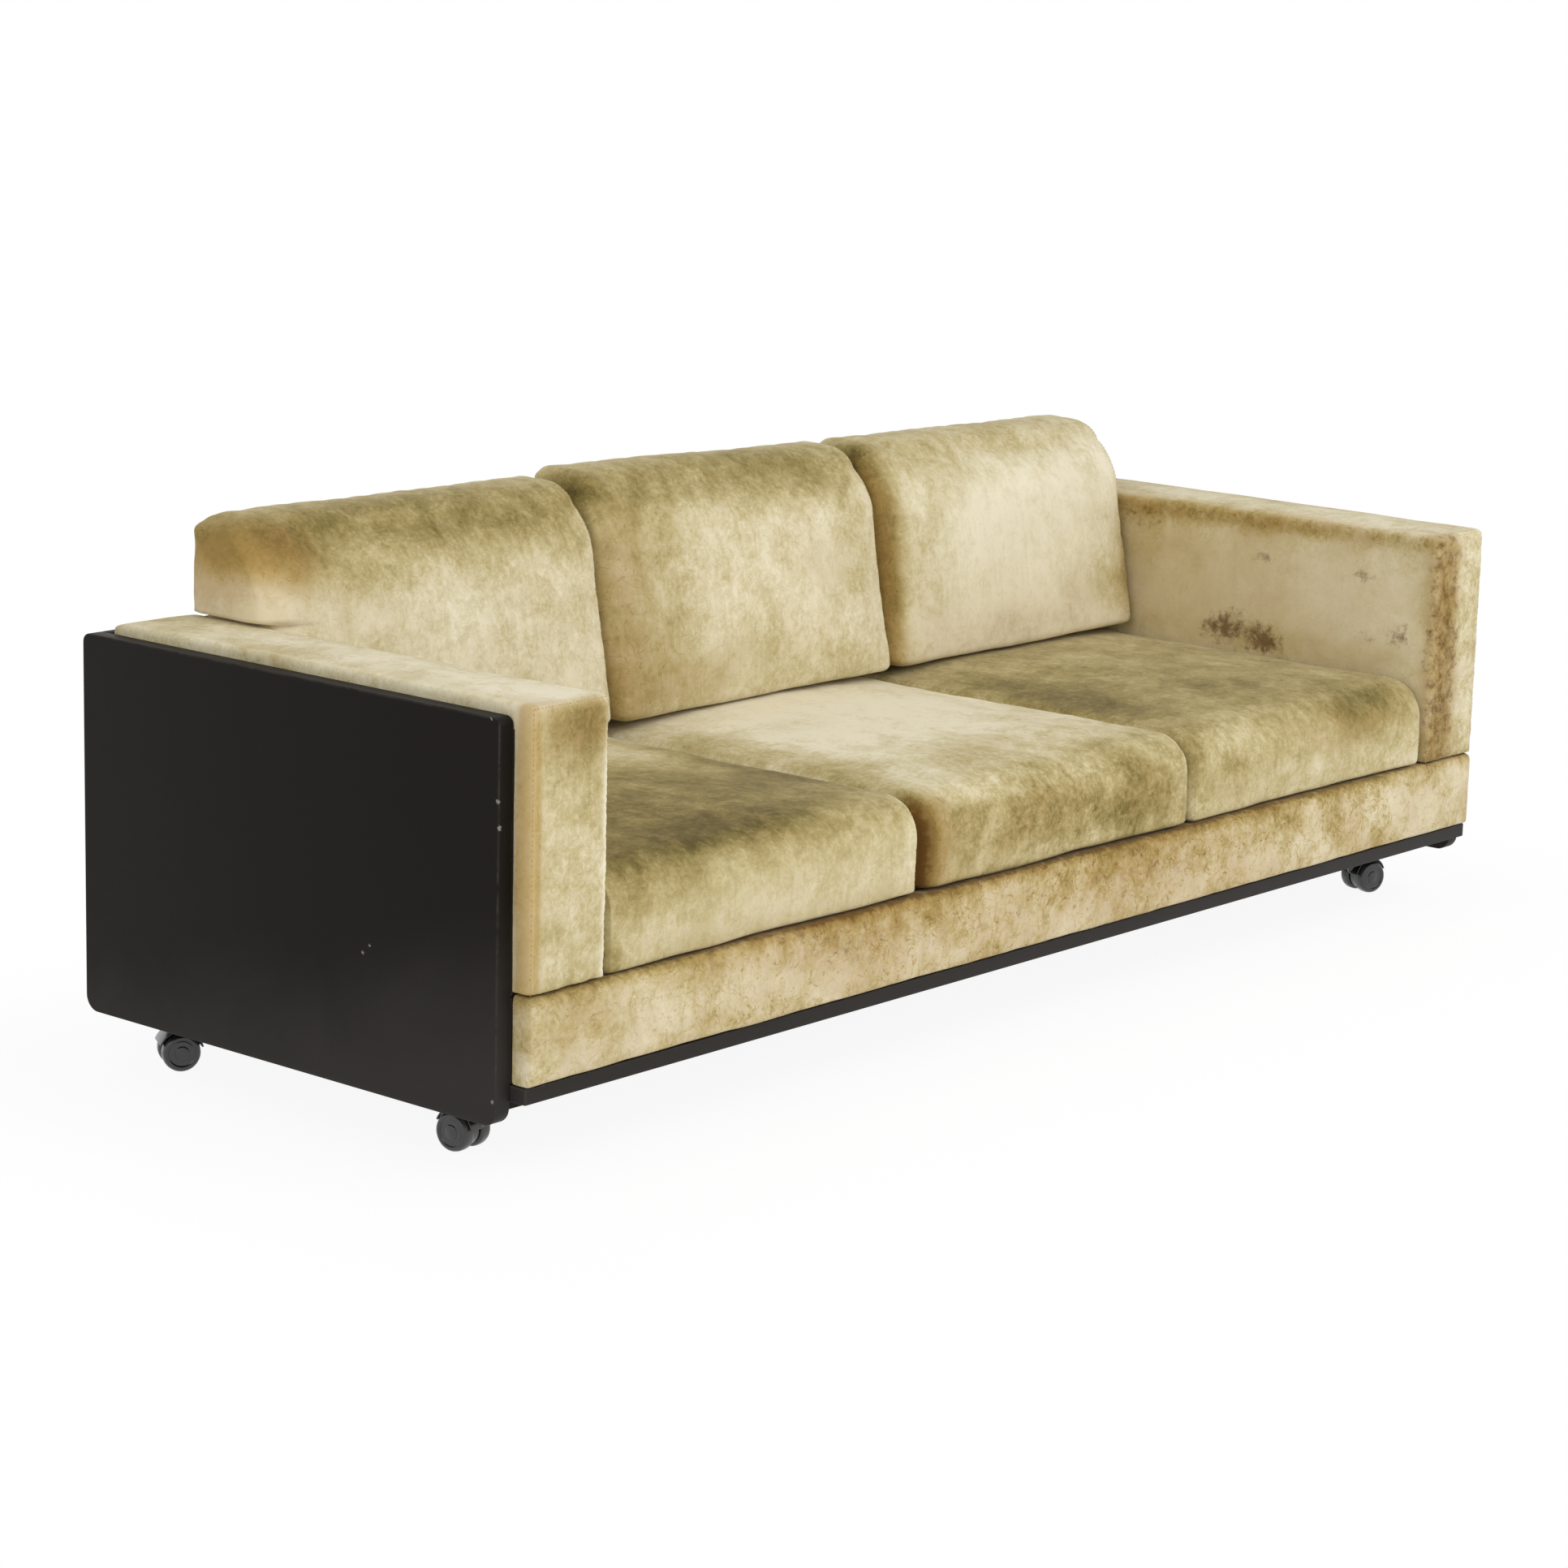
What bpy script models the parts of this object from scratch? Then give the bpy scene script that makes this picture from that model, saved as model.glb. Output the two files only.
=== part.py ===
"""Three-seat sofa: a low black case of boards on twin-wheel castors, filled with velvet upholstery.

Metres, +Z up, +Y to the back of the sofa; left and right are as seen from the front, +X to the right.
The sofa stands on the floor at Z = 0 with the origin under the middle of its box. Everything is
stacked up from the floor: castor, runner, base board, rails, platform, cushions.
"""

import itertools
import math

import bmesh
import bpy
from mathutils import Matrix, Vector

for old in list(bpy.data.objects):
    bpy.data.objects.remove(old, do_unlink=True)

# Clearance left between pieces that touch
FIT = 0.0003

# Castors
WHEEL_DIAMETER = 0.052
WHEEL_WIDTH = 0.019
WHEEL_SIDES = 20
TREAD_ROUND = 0.004
WEB = 0.012                # plate of the hood that stands between the wheels
WEB_LIFT = 0.004           # edge of that plate above the floor
WHEEL_SIDE_GAP = 0.0008
AXLE_DIAMETER = 0.006
AXLE_BLIND = 0.005         # wheel left solid beyond the end of the axle
TRAIL = 0.020              # from the swivel axis back to the axle
HOOD_CLEARANCE = 0.0025
HOOD_WALL = 0.0025
HOOD_REACH = 0.013         # how far the hood covers each wheel
NECK = 0.018               # collar between the hood and its socket
NECK_DIAMETER = 0.021
STEM_DIAMETER = 0.010
STEM_IN_HOOD = 0.017
SOCKET_WALL = 0.002
SOCKET_FLOOR = 0.004       # runner left solid above the socket
FLANGE = 0.0025
FLANGE_DIAMETER = 0.032
CASTOR_FROM_FRONT = 0.130  # swivel axis behind the front edge of the side panels
CASTOR_FROM_BACK = 0.104   # swivel axis ahead of the back of the case
CASTOR_HEADINGS = {"front_left": 95, "front_right": -15, "rear_left": 150, "rear_right": 40}

# Case
CASE_WIDTH = 2.200
CASE_DEPTH = 0.767
CASE_HEIGHT = 0.512
BOARD = 0.025
SKIRT = 0.029              # side and back panels reach this far below the base board
TOP_CORNER = 0.012
LOW_CORNER = 0.022
CORNER_STEPS = 5
ARRIS = 0.0015
BASE_BOARD = 0.021
BASE_SETBACK = 0.010       # front edge of the base board behind the upholstery
RUNNER = 0.0286
RUNNER_WIDTH = 0.144
RUNNER_SETBACK = 0.045

# Seat platform
RAIL = 0.030
RAIL_HEIGHT = 0.1115
CROSS_DROP = 0.025         # cross rails stay this far below the webbing so that it can give
WEBBING = 0.002
WEBBING_WIDTH = 0.060
WEBBING_INSET = 0.004
STRAPS_PER_SEAT = 3
CROSS_STRAPS = 2
DECK_CLOTH = 0.0015

# Arms, inner back and front rail cover
OVERHANG = 0.036           # upholstery ahead of the front edge of the side panels
ARM_WIDTH = 0.139
ARM_RISE = 0.016           # upholstered arm above the panel's top edge, before its crown
ARM_FRAME = 0.040
ARM_POST = 0.050
ARM_TOP_RAIL = 0.045
ARM_STUFFING = 0.034       # padding over the arm's top rail
ARM_ROUND = 0.014          # top edges
ARM_EASE = 0.008           # upright edges
ARM_REAR = 0.045           # rear end, where the pad rounds down to the back panel
ARM_SWELL = 0.004
ARM_CROWN = 0.006
LINING = 0.012             # padded lining of the back panel
LINING_DROP = 0.008        # its top below the panel's top edge
LINING_EASE = 0.003
COVER_ROUND = 0.010
COVER_SWELL = 0.003

# Cushions
SEATS = ("left", "middle", "right")
SEAT_EDGE = 0.134          # thickness at the edges
SEAT_CROWN = 0.014
SEAT_FRONT_SWELL = 0.008
SEAT_SIDE_SWELL = 0.003
SEAT_PINCH = 0.004
SEAT_ROUND = 0.036         # front and rear edges of the top
SEAT_EASE = 0.010          # upright edges and foot
SEAT_BACK_GAP = 0.003
BACK_EDGE = 0.338          # height at the ends
BACK_CROWN = 0.010
BACK_FOOT = 0.199          # thickness at the foot
BACK_LEAN = math.radians(10.0)
BACK_FRONT_SWELL = 0.024
BACK_SAG = 0.5             # share of the front swell that is left at the foot
BACK_SIDE_SWELL = 0.004
BACK_PINCH = 0.004
BACK_ROUND = 0.044         # front and rear edges of the top
BACK_CORNER = 0.042        # upper and upright edges at the ends
BACK_HEM = 0.009           # edges of the foot

# Places that several pieces share, worked out from the sizes above
neck_top = WHEEL_DIAMETER + HOOD_CLEARANCE + HOOD_WALL + NECK
flange_low = neck_top + FIT
runner_low = flange_low + FLANGE + FIT
runner_top = runner_low + RUNNER
base_low = runner_top + FIT
base_top = base_low + BASE_BOARD
case_low = base_low - SKIRT
case_top = case_low + CASE_HEIGHT
rail_low = base_top + FIT
rail_top = rail_low + RAIL_HEIGHT
webbing_low = rail_top + FIT
deck_low = webbing_low + WEBBING + FIT
deck_top = deck_low + DECK_CLOTH
platform = deck_top + FIT
panel_inside = CASE_WIDTH / 2 - BOARD
frame_outside = panel_inside - FIT
frame_inside = frame_outside - ARM_FRAME
arm_inside = panel_inside - ARM_WIDTH
pitch = 2 * arm_inside / len(SEATS)
back_outside = (CASE_DEPTH + OVERHANG) / 2
back_inside = back_outside - BOARD
frame_back = back_inside - FIT
panel_front = back_outside - CASE_DEPTH
pad_front = panel_front - OVERHANG
arm_top = case_top + ARM_RISE
arm_frame_top = arm_top - ARM_STUFFING
lining_front = frame_back - LINING
seat_top = platform + SEAT_EDGE + SEAT_CROWN

# Colour, roughness and metallic value of each kind of surface
FINISHES = {
    "lacquer": ((0.020, 0.018, 0.017), 0.32, 0.0),
    "timber": ((0.55, 0.40, 0.24), 0.6, 0.0),
    "velvet": ((0.55, 0.43, 0.20), 0.85, 0.0),
    "webbing": ((0.20, 0.14, 0.09), 0.8, 0.0),
    "lining": ((0.09, 0.08, 0.07), 0.9, 0.0),
    "nylon": ((0.018, 0.018, 0.019), 0.35, 0.0),
    "steel": ((0.62, 0.62, 0.63), 0.3, 1.0),
}


def add_piece(name, mesh, at, finish, parent=None):
    """Puts a mesh into the scene as the named piece, with a material of its own."""
    piece = bpy.data.objects.new(name, mesh)
    piece.location = at
    piece.parent = parent
    bpy.context.collection.objects.link(piece)
    if finish:
        colour, roughness, metallic = FINISHES[finish]
        look = bpy.data.materials.new(name)
        look.use_nodes = True
        shader = look.node_tree.nodes["Principled BSDF"]
        shader.inputs["Base Color"].default_value = (*colour, 1.0)
        shader.inputs["Roughness"].default_value = roughness
        shader.inputs["Metallic"].default_value = metallic
        if not mesh.materials:
            mesh.materials.append(None)
        piece.material_slots[0].link = "OBJECT"
        piece.material_slots[0].material = look
    return piece


def mesh_of(name, bm):
    bmesh.ops.recalc_face_normals(bm, faces=bm.faces)
    mesh = bpy.data.meshes.new(name)
    bm.to_mesh(mesh)
    bm.free()
    return mesh


def box_shape(size):
    bm = bmesh.new()
    bmesh.ops.create_cube(bm, size=1.0)
    bmesh.ops.scale(bm, vec=size, verts=bm.verts)
    return bm


def box(name, low, high, finish, arris=ARRIS):
    """A straight piece of timber or cloth between two corners, its edges eased."""
    low, high = Vector(low), Vector(high)
    bm = box_shape(high - low)
    if arris:
        bmesh.ops.bevel(bm, geom=bm.edges[:], offset=arris, segments=1, affect="EDGES")
    return add_piece(name, mesh_of(name, bm), (low + high) / 2, finish)


def turned(profile, sides):
    """A solid turned about Z from (radius, height) points, a closed loop or one that ends on the axis."""
    bm = bmesh.new()
    points = [bm.verts.new((r, 0.0, z)) for r, z in profile]
    edges = [bm.edges.new(pair) for pair in zip(points, points[1:])]
    if profile[0][0] > 0:
        edges.append(bm.edges.new((points[-1], points[0])))
    bmesh.ops.spin(bm, geom=points + edges, axis=(0, 0, 1), cent=(0, 0, 0), angle=math.tau, steps=sides)
    bmesh.ops.remove_doubles(bm, verts=bm.verts, dist=1e-6)
    # Half a step round, so that a flat and not a corner lies under the axis
    bmesh.ops.rotate(bm, verts=bm.verts, cent=(0, 0, 0), matrix=Matrix.Rotation(math.pi / sides, 3, "Z"))
    return bm


def rod(radius, low, high, sides=16):
    return turned([(0, low), (radius, low), (radius, high), (0, high)], sides)


def extruded(outline, along, low, high):
    """A flat outline, given as points in space, drawn out from low to high along an axis."""
    bm = bmesh.new()
    face = bm.faces.new([bm.verts.new(Vector(p) + Vector(along) * low) for p in outline])
    drawn = bmesh.ops.extrude_face_region(bm, geom=[face])
    moved = [v for v in drawn["geom"] if isinstance(v, bmesh.types.BMVert)]
    bmesh.ops.translate(bm, verts=moved, vec=Vector(along) * (high - low))
    return bm


def arc(centre, radius, start, end, steps):
    """Points of an arc in a plane, from one angle to another in degrees."""
    angles = (math.radians(start + (end - start) * i / steps) for i in range(steps + 1))
    return [(centre[0] + radius * math.cos(a), centre[1] + radius * math.sin(a)) for a in angles]


def cutter(name, bm, at=(0, 0, 0)):
    """A shape that only cuts or joins others: it stays in the file as a wire and is never rendered."""
    tool = add_piece(name, mesh_of(name, bm), at, None)
    tool.hide_render = True
    tool.display_type = "WIRE"
    return tool


def combine(piece, tool, operation="DIFFERENCE"):
    change = piece.modifiers.new(tool.name, "BOOLEAN")
    change.operation = operation
    change.object = tool
    change.solver = "EXACT"


def soft_block(name, low, high, rounding, swell, spans, finish, pinch=0.0, sag=0.0, lean=(0.0, 0.0)):
    """A padded block between two corners.

    rounding and swell hold a pair for each axis, for its low and its high face: how far the face's
    edges are rounded, and how far its middle stands out. pinch draws the sides in between the
    corners along the upper and lower seams. sag keeps a share of the front's swell at the foot.
    lean is the slope to the back of the front and of the rear face.
    """
    low, high = Vector(low), Vector(high)
    centre, half = (low + high) / 2, (high - low) / 2
    grid = []
    for axis in range(3):
        ends = [margin / half[axis] for margin in rounding[axis]]
        first, last = ends[0] - 1, 1 - ends[1]
        inner = [first + (last - first) * i / spans[axis] for i in range(spans[axis] + 1)]
        grid.append([-1, -1 + 0.586 * ends[0], *inner, 1 - 0.586 * ends[1], 1])

    def shaped(t):
        core, out = Vector(), Vector()
        for axis in range(3):
            margin = rounding[axis][1 if t[axis] > 0 else 0]
            reach = half[axis] - margin
            place = t[axis] * half[axis]
            core[axis] = max(-reach, min(reach, place))
            out[axis] = (place - core[axis]) / margin
        out.normalize()
        point = core.copy()
        for axis in range(3):
            point[axis] += out[axis] * rounding[axis][1 if t[axis] > 0 else 0]
        for axis in range(3):
            b, c = (axis + 1) % 3, (axis + 2) % 3
            up = (t[axis] + 1) / 2
            stand = (1 - t[b] ** 2) * (1 - t[c] ** 2)
            front = stand
            if axis == 1 and t[2] < 0:
                front = (1 - t[0] ** 2) * (1 - (1 - sag) * t[2] ** 2)
            point[axis] += up * stand * swell[axis][1] - (1 - up) * front * swell[axis][0]
        point.x -= t[0] * pinch * (1 - t[1] ** 2) * t[2] ** 2
        point.y -= t[1] * pinch * (1 - t[0] ** 2) * t[2] ** 2
        back = (t[1] + 1) / 2
        point.y += (point.z + half.z) * (lean[0] * (1 - back) + lean[1] * back)
        return point

    bm = bmesh.new()
    corners = {}
    for axis in range(3):
        b, c = (axis + 1) % 3, (axis + 2) % 3
        for end in (0, len(grid[axis]) - 1):
            for i, j in itertools.product(range(len(grid[b]) - 1), range(len(grid[c]) - 1)):
                loop = []
                for di, dj in ((0, 0), (1, 0), (1, 1), (0, 1)):
                    key = [0, 0, 0]
                    key[axis], key[b], key[c] = end, i + di, j + dj
                    key = tuple(key)
                    if key not in corners:
                        corners[key] = bm.verts.new(shaped([grid[n][key[n]] for n in range(3)]))
                    loop.append(corners[key])
                bm.faces.new(loop)
    for face in bm.faces:
        face.smooth = True
    return add_piece(name, mesh_of(name, bm), centre, finish)


# Side panels: boards with rounded corners, standing either side of everything else
panel_outline = (
    arc((panel_front + LOW_CORNER, case_low + LOW_CORNER), LOW_CORNER, 180, 270, CORNER_STEPS)
    + arc((back_outside - LOW_CORNER, case_low + LOW_CORNER), LOW_CORNER, 270, 360, CORNER_STEPS)
    + arc((back_outside - TOP_CORNER, case_top - TOP_CORNER), TOP_CORNER, 0, 90, CORNER_STEPS)
    + arc((panel_front + TOP_CORNER, case_top - TOP_CORNER), TOP_CORNER, 90, 180, CORNER_STEPS)
)
for side, sign in (("left", -1), ("right", 1)):
    bm = extruded([(0, y, z) for y, z in panel_outline], (1, 0, 0), -BOARD / 2, BOARD / 2)
    name = f"side_panel_{side}"
    panel = add_piece(name, mesh_of(name, bm), (sign * (panel_inside + BOARD / 2), 0, 0), "lacquer")
    ease = panel.modifiers.new("arris", "BEVEL")
    ease.width, ease.segments, ease.limit_method, ease.angle_limit = ARRIS, 1, "ANGLE", math.radians(50)

# Back panel: between the side panels, its outer edges rounded to run on from their corners
back_outline = [(back_inside, case_low)]
back_outline += arc((back_outside - LOW_CORNER, case_low + LOW_CORNER), LOW_CORNER, 270, 360, CORNER_STEPS)
back_outline += arc((back_outside - TOP_CORNER, case_top - TOP_CORNER), TOP_CORNER, 0, 90, CORNER_STEPS)
back_outline += [(back_inside, case_top)]
bm = extruded([(0, y, z) for y, z in back_outline], (1, 0, 0), FIT - panel_inside, panel_inside - FIT)
add_piece("back_panel", mesh_of("back_panel", bm), (0, 0, 0), "lacquer")

# Base board: its front edge shows as a strip under the front rail
box("base_board", (-frame_outside, pad_front + BASE_SETBACK, base_low),
    (frame_outside, frame_back, base_top), "lacquer")

# Castor runners, each bored from below for its two sockets
castor_x = frame_outside - RUNNER_WIDTH / 2
castor_y = {"front": panel_front + CASTOR_FROM_FRONT, "rear": back_outside - CASTOR_FROM_BACK}
socket_bore = STEM_DIAMETER / 2 + FIT
socket_outside = socket_bore + SOCKET_WALL
socket_top = runner_top - SOCKET_FLOOR
for side, sign in (("left", -1), ("right", 1)):
    near, far = sorted((sign * frame_outside, sign * (frame_outside - RUNNER_WIDTH)))
    runner = box(f"castor_runner_{side}", (near, panel_front + RUNNER_SETBACK, runner_low),
                 (far, frame_back, runner_top), "timber")
    for end, y in castor_y.items():
        hole = rod(socket_outside + FIT, runner_low - RUNNER, socket_top + FIT)
        combine(runner, cutter(f"{end}_{side}_socket_hole", hole, (sign * castor_x, y, 0)))

# Castor hood: a web between the wheels, a shell over them and a collar on the swivel axis
radius = WHEEL_DIAMETER / 2
wheel_start = WEB / 2 + WHEEL_SIDE_GAP
well = radius + HOOD_CLEARANCE
shell = arc((TRAIL, radius), well + HOOD_WALL, 22, 168, 14)
hood_half = wheel_start + HOOD_REACH
across = Matrix.Rotation(math.radians(-90), 3, "X")


def crosswise(bm, y):
    """Turns a shape made about Z so that it runs along +Y from y, about the axle."""
    bmesh.ops.rotate(bm, verts=bm.verts, cent=(0, 0, 0), matrix=across)
    bmesh.ops.translate(bm, verts=bm.verts, vec=(TRAIL, y, radius))
    return bm


pattern = cutter("hood_pattern", extruded([(x, 0, z) for x, z in shell], (0, 1, 0), -hood_half, hood_half))
combine(pattern, cutter("hood_collar", rod(NECK_DIAMETER / 2, radius + WEB_LIFT, neck_top, 20)), "UNION")
combine(pattern, cutter("hood_web", crosswise(rod(radius - WEB_LIFT, 0, 2 * WEB, 24), -WEB)), "UNION")
for hand, start in (("a", WEB / 2), ("b", -WEB / 2 - 2 * hood_half)):
    combine(pattern, cutter(f"wheel_well_{hand}", crosswise(rod(well, 0, 2 * hood_half, 28), start)))
combine(pattern, cutter("axle_hole", crosswise(rod(AXLE_DIAMETER / 2 + FIT, 0, 2 * WEB, 12), -WEB)))
combine(pattern, cutter("stem_hole", rod(STEM_DIAMETER / 2 + FIT, neck_top - STEM_IN_HOOD, neck_top + NECK)))
hood_mesh = bpy.data.meshes.new_from_object(pattern.evaluated_get(bpy.context.evaluated_depsgraph_get()))

# Castor wheel: rounded tread, dished outer face with a hub, blind bore from the inside
rim = radius / math.cos(math.pi / WHEEL_SIDES)
axle_bore = AXLE_DIAMETER / 2 + FIT
wheel_profile = [
    (0, WHEEL_WIDTH - AXLE_BLIND), (axle_bore, WHEEL_WIDTH - AXLE_BLIND), (axle_bore, 0),
    (rim - TREAD_ROUND / 2, 0), (rim, TREAD_ROUND / 2), (rim, WHEEL_WIDTH - 1.5 * TREAD_ROUND),
    (rim - 0.3 * TREAD_ROUND, WHEEL_WIDTH - 0.6 * TREAD_ROUND), (rim - TREAD_ROUND, WHEEL_WIDTH),
    (rim - 2 * TREAD_ROUND, WHEEL_WIDTH), (rim - 2.6 * TREAD_ROUND, WHEEL_WIDTH - 0.5 * TREAD_ROUND),
    (3 * axle_bore, WHEEL_WIDTH - 0.5 * TREAD_ROUND), (2.6 * axle_bore, WHEEL_WIDTH - FIT),
    (0, WHEEL_WIDTH - FIT),
]
wheel_mesh = mesh_of("castor_wheel", turned(wheel_profile, WHEEL_SIDES))
axle_half = wheel_start + WHEEL_WIDTH - AXLE_BLIND - FIT
axle_mesh = mesh_of("castor_axle", rod(AXLE_DIAMETER / 2, -axle_half, axle_half, 12))
stem_mesh = mesh_of("castor_stem", rod(STEM_DIAMETER / 2, neck_top - STEM_IN_HOOD + FIT, socket_top - FIT))
socket_mesh = mesh_of("castor_socket", turned([
    (socket_bore, flange_low), (FLANGE_DIAMETER / 2, flange_low), (FLANGE_DIAMETER / 2, flange_low + FLANGE),
    (socket_outside, flange_low + FLANGE), (socket_outside, socket_top), (socket_bore, socket_top),
], 16))

# Four castors, each on an empty that stands on its swivel axis
for end, side in itertools.product(("front", "rear"), ("left", "right")):
    corner = f"{end}_{side}"
    spot = (castor_x * (-1 if side == "left" else 1), castor_y[end], 0)
    add_piece(f"castor_socket_{corner}", socket_mesh, spot, "steel")
    swivel = bpy.data.objects.new(f"{corner}_swivel", None)
    swivel.location = spot
    swivel.rotation_euler.z = math.radians(CASTOR_HEADINGS[corner])
    bpy.context.collection.objects.link(swivel)
    add_piece(f"castor_stem_{corner}", stem_mesh, (0, 0, 0), "steel", swivel)
    add_piece(f"castor_hood_{corner}", hood_mesh, (0, 0, 0), "nylon", swivel)
    axle = add_piece(f"castor_axle_{corner}", axle_mesh, (TRAIL, 0, radius), "steel", swivel)
    axle.rotation_euler.x = math.radians(-90)
    for hand, sign in (("a", 1), ("b", -1)):
        wheel = add_piece(f"castor_wheel_{corner}_{hand}", wheel_mesh,
                          (TRAIL, sign * wheel_start, radius), "nylon", swivel)
        wheel.rotation_euler.x = math.radians(-90 * sign)

# Rails of the seat platform, standing on the base board
end_front, end_rear = panel_front + RAIL + FIT, frame_back - RAIL - FIT
box("front_rail", (-frame_outside, panel_front, rail_low), (frame_outside, panel_front + RAIL, rail_top), "timber")
box("rear_rail", (-frame_outside, frame_back - RAIL, rail_low), (frame_outside, frame_back, rail_top), "timber")
for side, sign in (("left", -1), ("right", 1)):
    near, far = sorted((sign * frame_inside, sign * frame_outside))
    box(f"end_rail_{side}", (near, end_front, rail_low), (far, end_rear, rail_top), "timber")
    middle = sign * pitch / 2
    box(f"cross_rail_{side}", (middle - RAIL / 2, end_front, rail_low),
        (middle + RAIL / 2, end_rear, rail_top - CROSS_DROP), "timber")

# Webbing: straps from front to back, woven into one mat with straps from arm to arm
strap_ends = (panel_front + WEBBING_INSET, frame_back - WEBBING_INSET)
row_ends = (WEBBING_INSET - frame_outside, frame_outside - WEBBING_INSET)
strap_count = STRAPS_PER_SEAT * len(SEATS)
strap_step = 2 * arm_inside / strap_count
columns = [(strap_step * (i + 0.5) - arm_inside) for i in range(strap_count)]
rows = [end_front + (end_rear - end_front) * (i + 1) / (CROSS_STRAPS + 1) for i in range(CROSS_STRAPS)]
xs = sorted([*row_ends, *(x + s * WEBBING_WIDTH / 2 for x in columns for s in (-1, 1))])
ys = sorted([*strap_ends, *(y + s * WEBBING_WIDTH / 2 for y in rows for s in (-1, 1))])
bm = bmesh.new()
knots = {(i, j): bm.verts.new((x, y, 0)) for i, x in enumerate(xs) for j, y in enumerate(ys)}
for i, j in itertools.product(range(len(xs) - 1), range(len(ys) - 1)):
    if i % 2 or j % 2:
        bm.faces.new([knots[i, j], knots[i + 1, j], knots[i + 1, j + 1], knots[i, j + 1]])
bmesh.ops.delete(bm, geom=[v for v in bm.verts if not v.link_faces], context="VERTS")
drawn = bmesh.ops.extrude_face_region(bm, geom=bm.faces[:])
bmesh.ops.translate(bm, verts=[v for v in drawn["geom"] if isinstance(v, bmesh.types.BMVert)], vec=(0, 0, WEBBING))
add_piece("seat_webbing", mesh_of("seat_webbing", bm), (0, 0, webbing_low), "webbing")

# Deck cloth over the webbing
box("deck_cloth", (FIT - frame_inside, panel_front, deck_low),
    (frame_inside - FIT, frame_back, deck_top), "lining", arris=0)

# Padded cover of the front rail
soft_block("front_rail_cover", (-frame_outside, pad_front + COVER_SWELL, rail_low),
           (frame_outside, panel_front - FIT, deck_top),
           ((COVER_ROUND, COVER_ROUND), (COVER_ROUND, COVER_SWELL), (COVER_ROUND / 2, COVER_ROUND / 2)),
           ((0, 0), (COVER_SWELL, 0), (0, 0)), (8, 1, 2), "velvet")

# Arms: two posts and a top rail against the side panel, with padding over their top, front and inner side
for side, sign in (("left", -1), ("right", 1)):
    near, far = sorted((sign * frame_inside, sign * frame_outside))
    post_top = arm_frame_top - ARM_TOP_RAIL - FIT
    box(f"arm_front_post_{side}", (near, panel_front, rail_top + FIT),
        (far, panel_front + ARM_POST, post_top), "timber")
    box(f"arm_rear_post_{side}", (near, frame_back - ARM_POST, rail_top + FIT),
        (far, frame_back, post_top), "timber")
    box(f"arm_top_rail_{side}", (near, panel_front, arm_frame_top - ARM_TOP_RAIL),
        (far, frame_back, arm_frame_top), "timber")
    near, far = sorted((sign * (arm_inside + ARM_SWELL), sign * frame_outside))
    inner, outer = (1, 0) if sign < 0 else (0, 1)
    rounds, swells = [0, 0], [0, 0]
    rounds[inner], rounds[outer], swells[inner] = ARM_EASE, ARM_EASE, ARM_SWELL
    arm = soft_block(f"arm_pad_{side}", (near, pad_front + ARM_SWELL, platform), (far, frame_back, arm_top),
                     (rounds, (ARM_EASE, ARM_REAR), (ARM_EASE / 3, ARM_ROUND)),
                     (swells, (ARM_SWELL, 0), (0, ARM_CROWN)), (2, 6, 4), "velvet")
    pocket = box_shape((2 * (ARM_FRAME + 2 * FIT), 2 * CASE_DEPTH, 2 * CASE_HEIGHT))
    corner = Vector((sign * (frame_inside - FIT), panel_front - FIT, arm_frame_top + FIT))
    reach = Vector((sign * (ARM_FRAME + 2 * FIT), CASE_DEPTH, -CASE_HEIGHT))
    combine(arm, cutter(f"arm_pocket_{side}", pocket, corner + reach))

# Padded lining on the inside of the back panel
box("back_lining", (FIT - arm_inside, lining_front, platform),
    (arm_inside - FIT, frame_back, case_top - LINING_DROP), "velvet", arris=LINING_EASE)

# Loose cushions: seats on the platform, backs standing on the seats against the lining
for index, seat in enumerate(SEATS):
    middle = pitch * (index + 0.5) - arm_inside
    half = pitch / 2 - SEAT_SIDE_SWELL - FIT
    soft_block(f"seat_cushion_{seat}", (middle - half, pad_front + SEAT_FRONT_SWELL, platform),
               (middle + half, lining_front - SEAT_BACK_GAP, platform + SEAT_EDGE),
               ((SEAT_EASE, SEAT_EASE), (SEAT_ROUND, SEAT_ROUND), (SEAT_EASE, SEAT_ROUND)),
               ((SEAT_SIDE_SWELL, SEAT_SIDE_SWELL), (SEAT_FRONT_SWELL, 0), (0, SEAT_CROWN)),
               (6, 6, 2), "velvet", pinch=SEAT_PINCH)
    half = pitch / 2 - BACK_SIDE_SWELL - FIT
    rear, foot = lining_front - 2 * FIT, seat_top + FIT
    soft_block(f"back_cushion_{seat}", (middle - half, rear - BACK_FOOT, foot),
               (middle + half, rear, foot + BACK_EDGE),
               ((BACK_CORNER, BACK_CORNER), (BACK_ROUND, BACK_ROUND / 2), (BACK_HEM, BACK_ROUND)),
               ((BACK_SIDE_SWELL, BACK_SIDE_SWELL), (BACK_FRONT_SWELL, 0), (0, BACK_CROWN)),
               (6, 2, 4), "velvet", pinch=BACK_PINCH, sag=BACK_SAG, lean=(math.tan(BACK_LEAN), 0.0))
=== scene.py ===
"""Looks of a three-seat sofa: a black lacquered board case on castors, filled with crushed gold velvet.

Metres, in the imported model's frame: +X to the right seen from the front, +Y to the back, +Z up and
the floor at Z = 0. The sections follow the sofa from the floor up, as it is put together.
"""

import itertools
import math

import bmesh
import bpy
import numpy as np
from mathutils import Matrix, Vector, kdtree, noise
from mathutils.bvhtree import BVHTree


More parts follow.
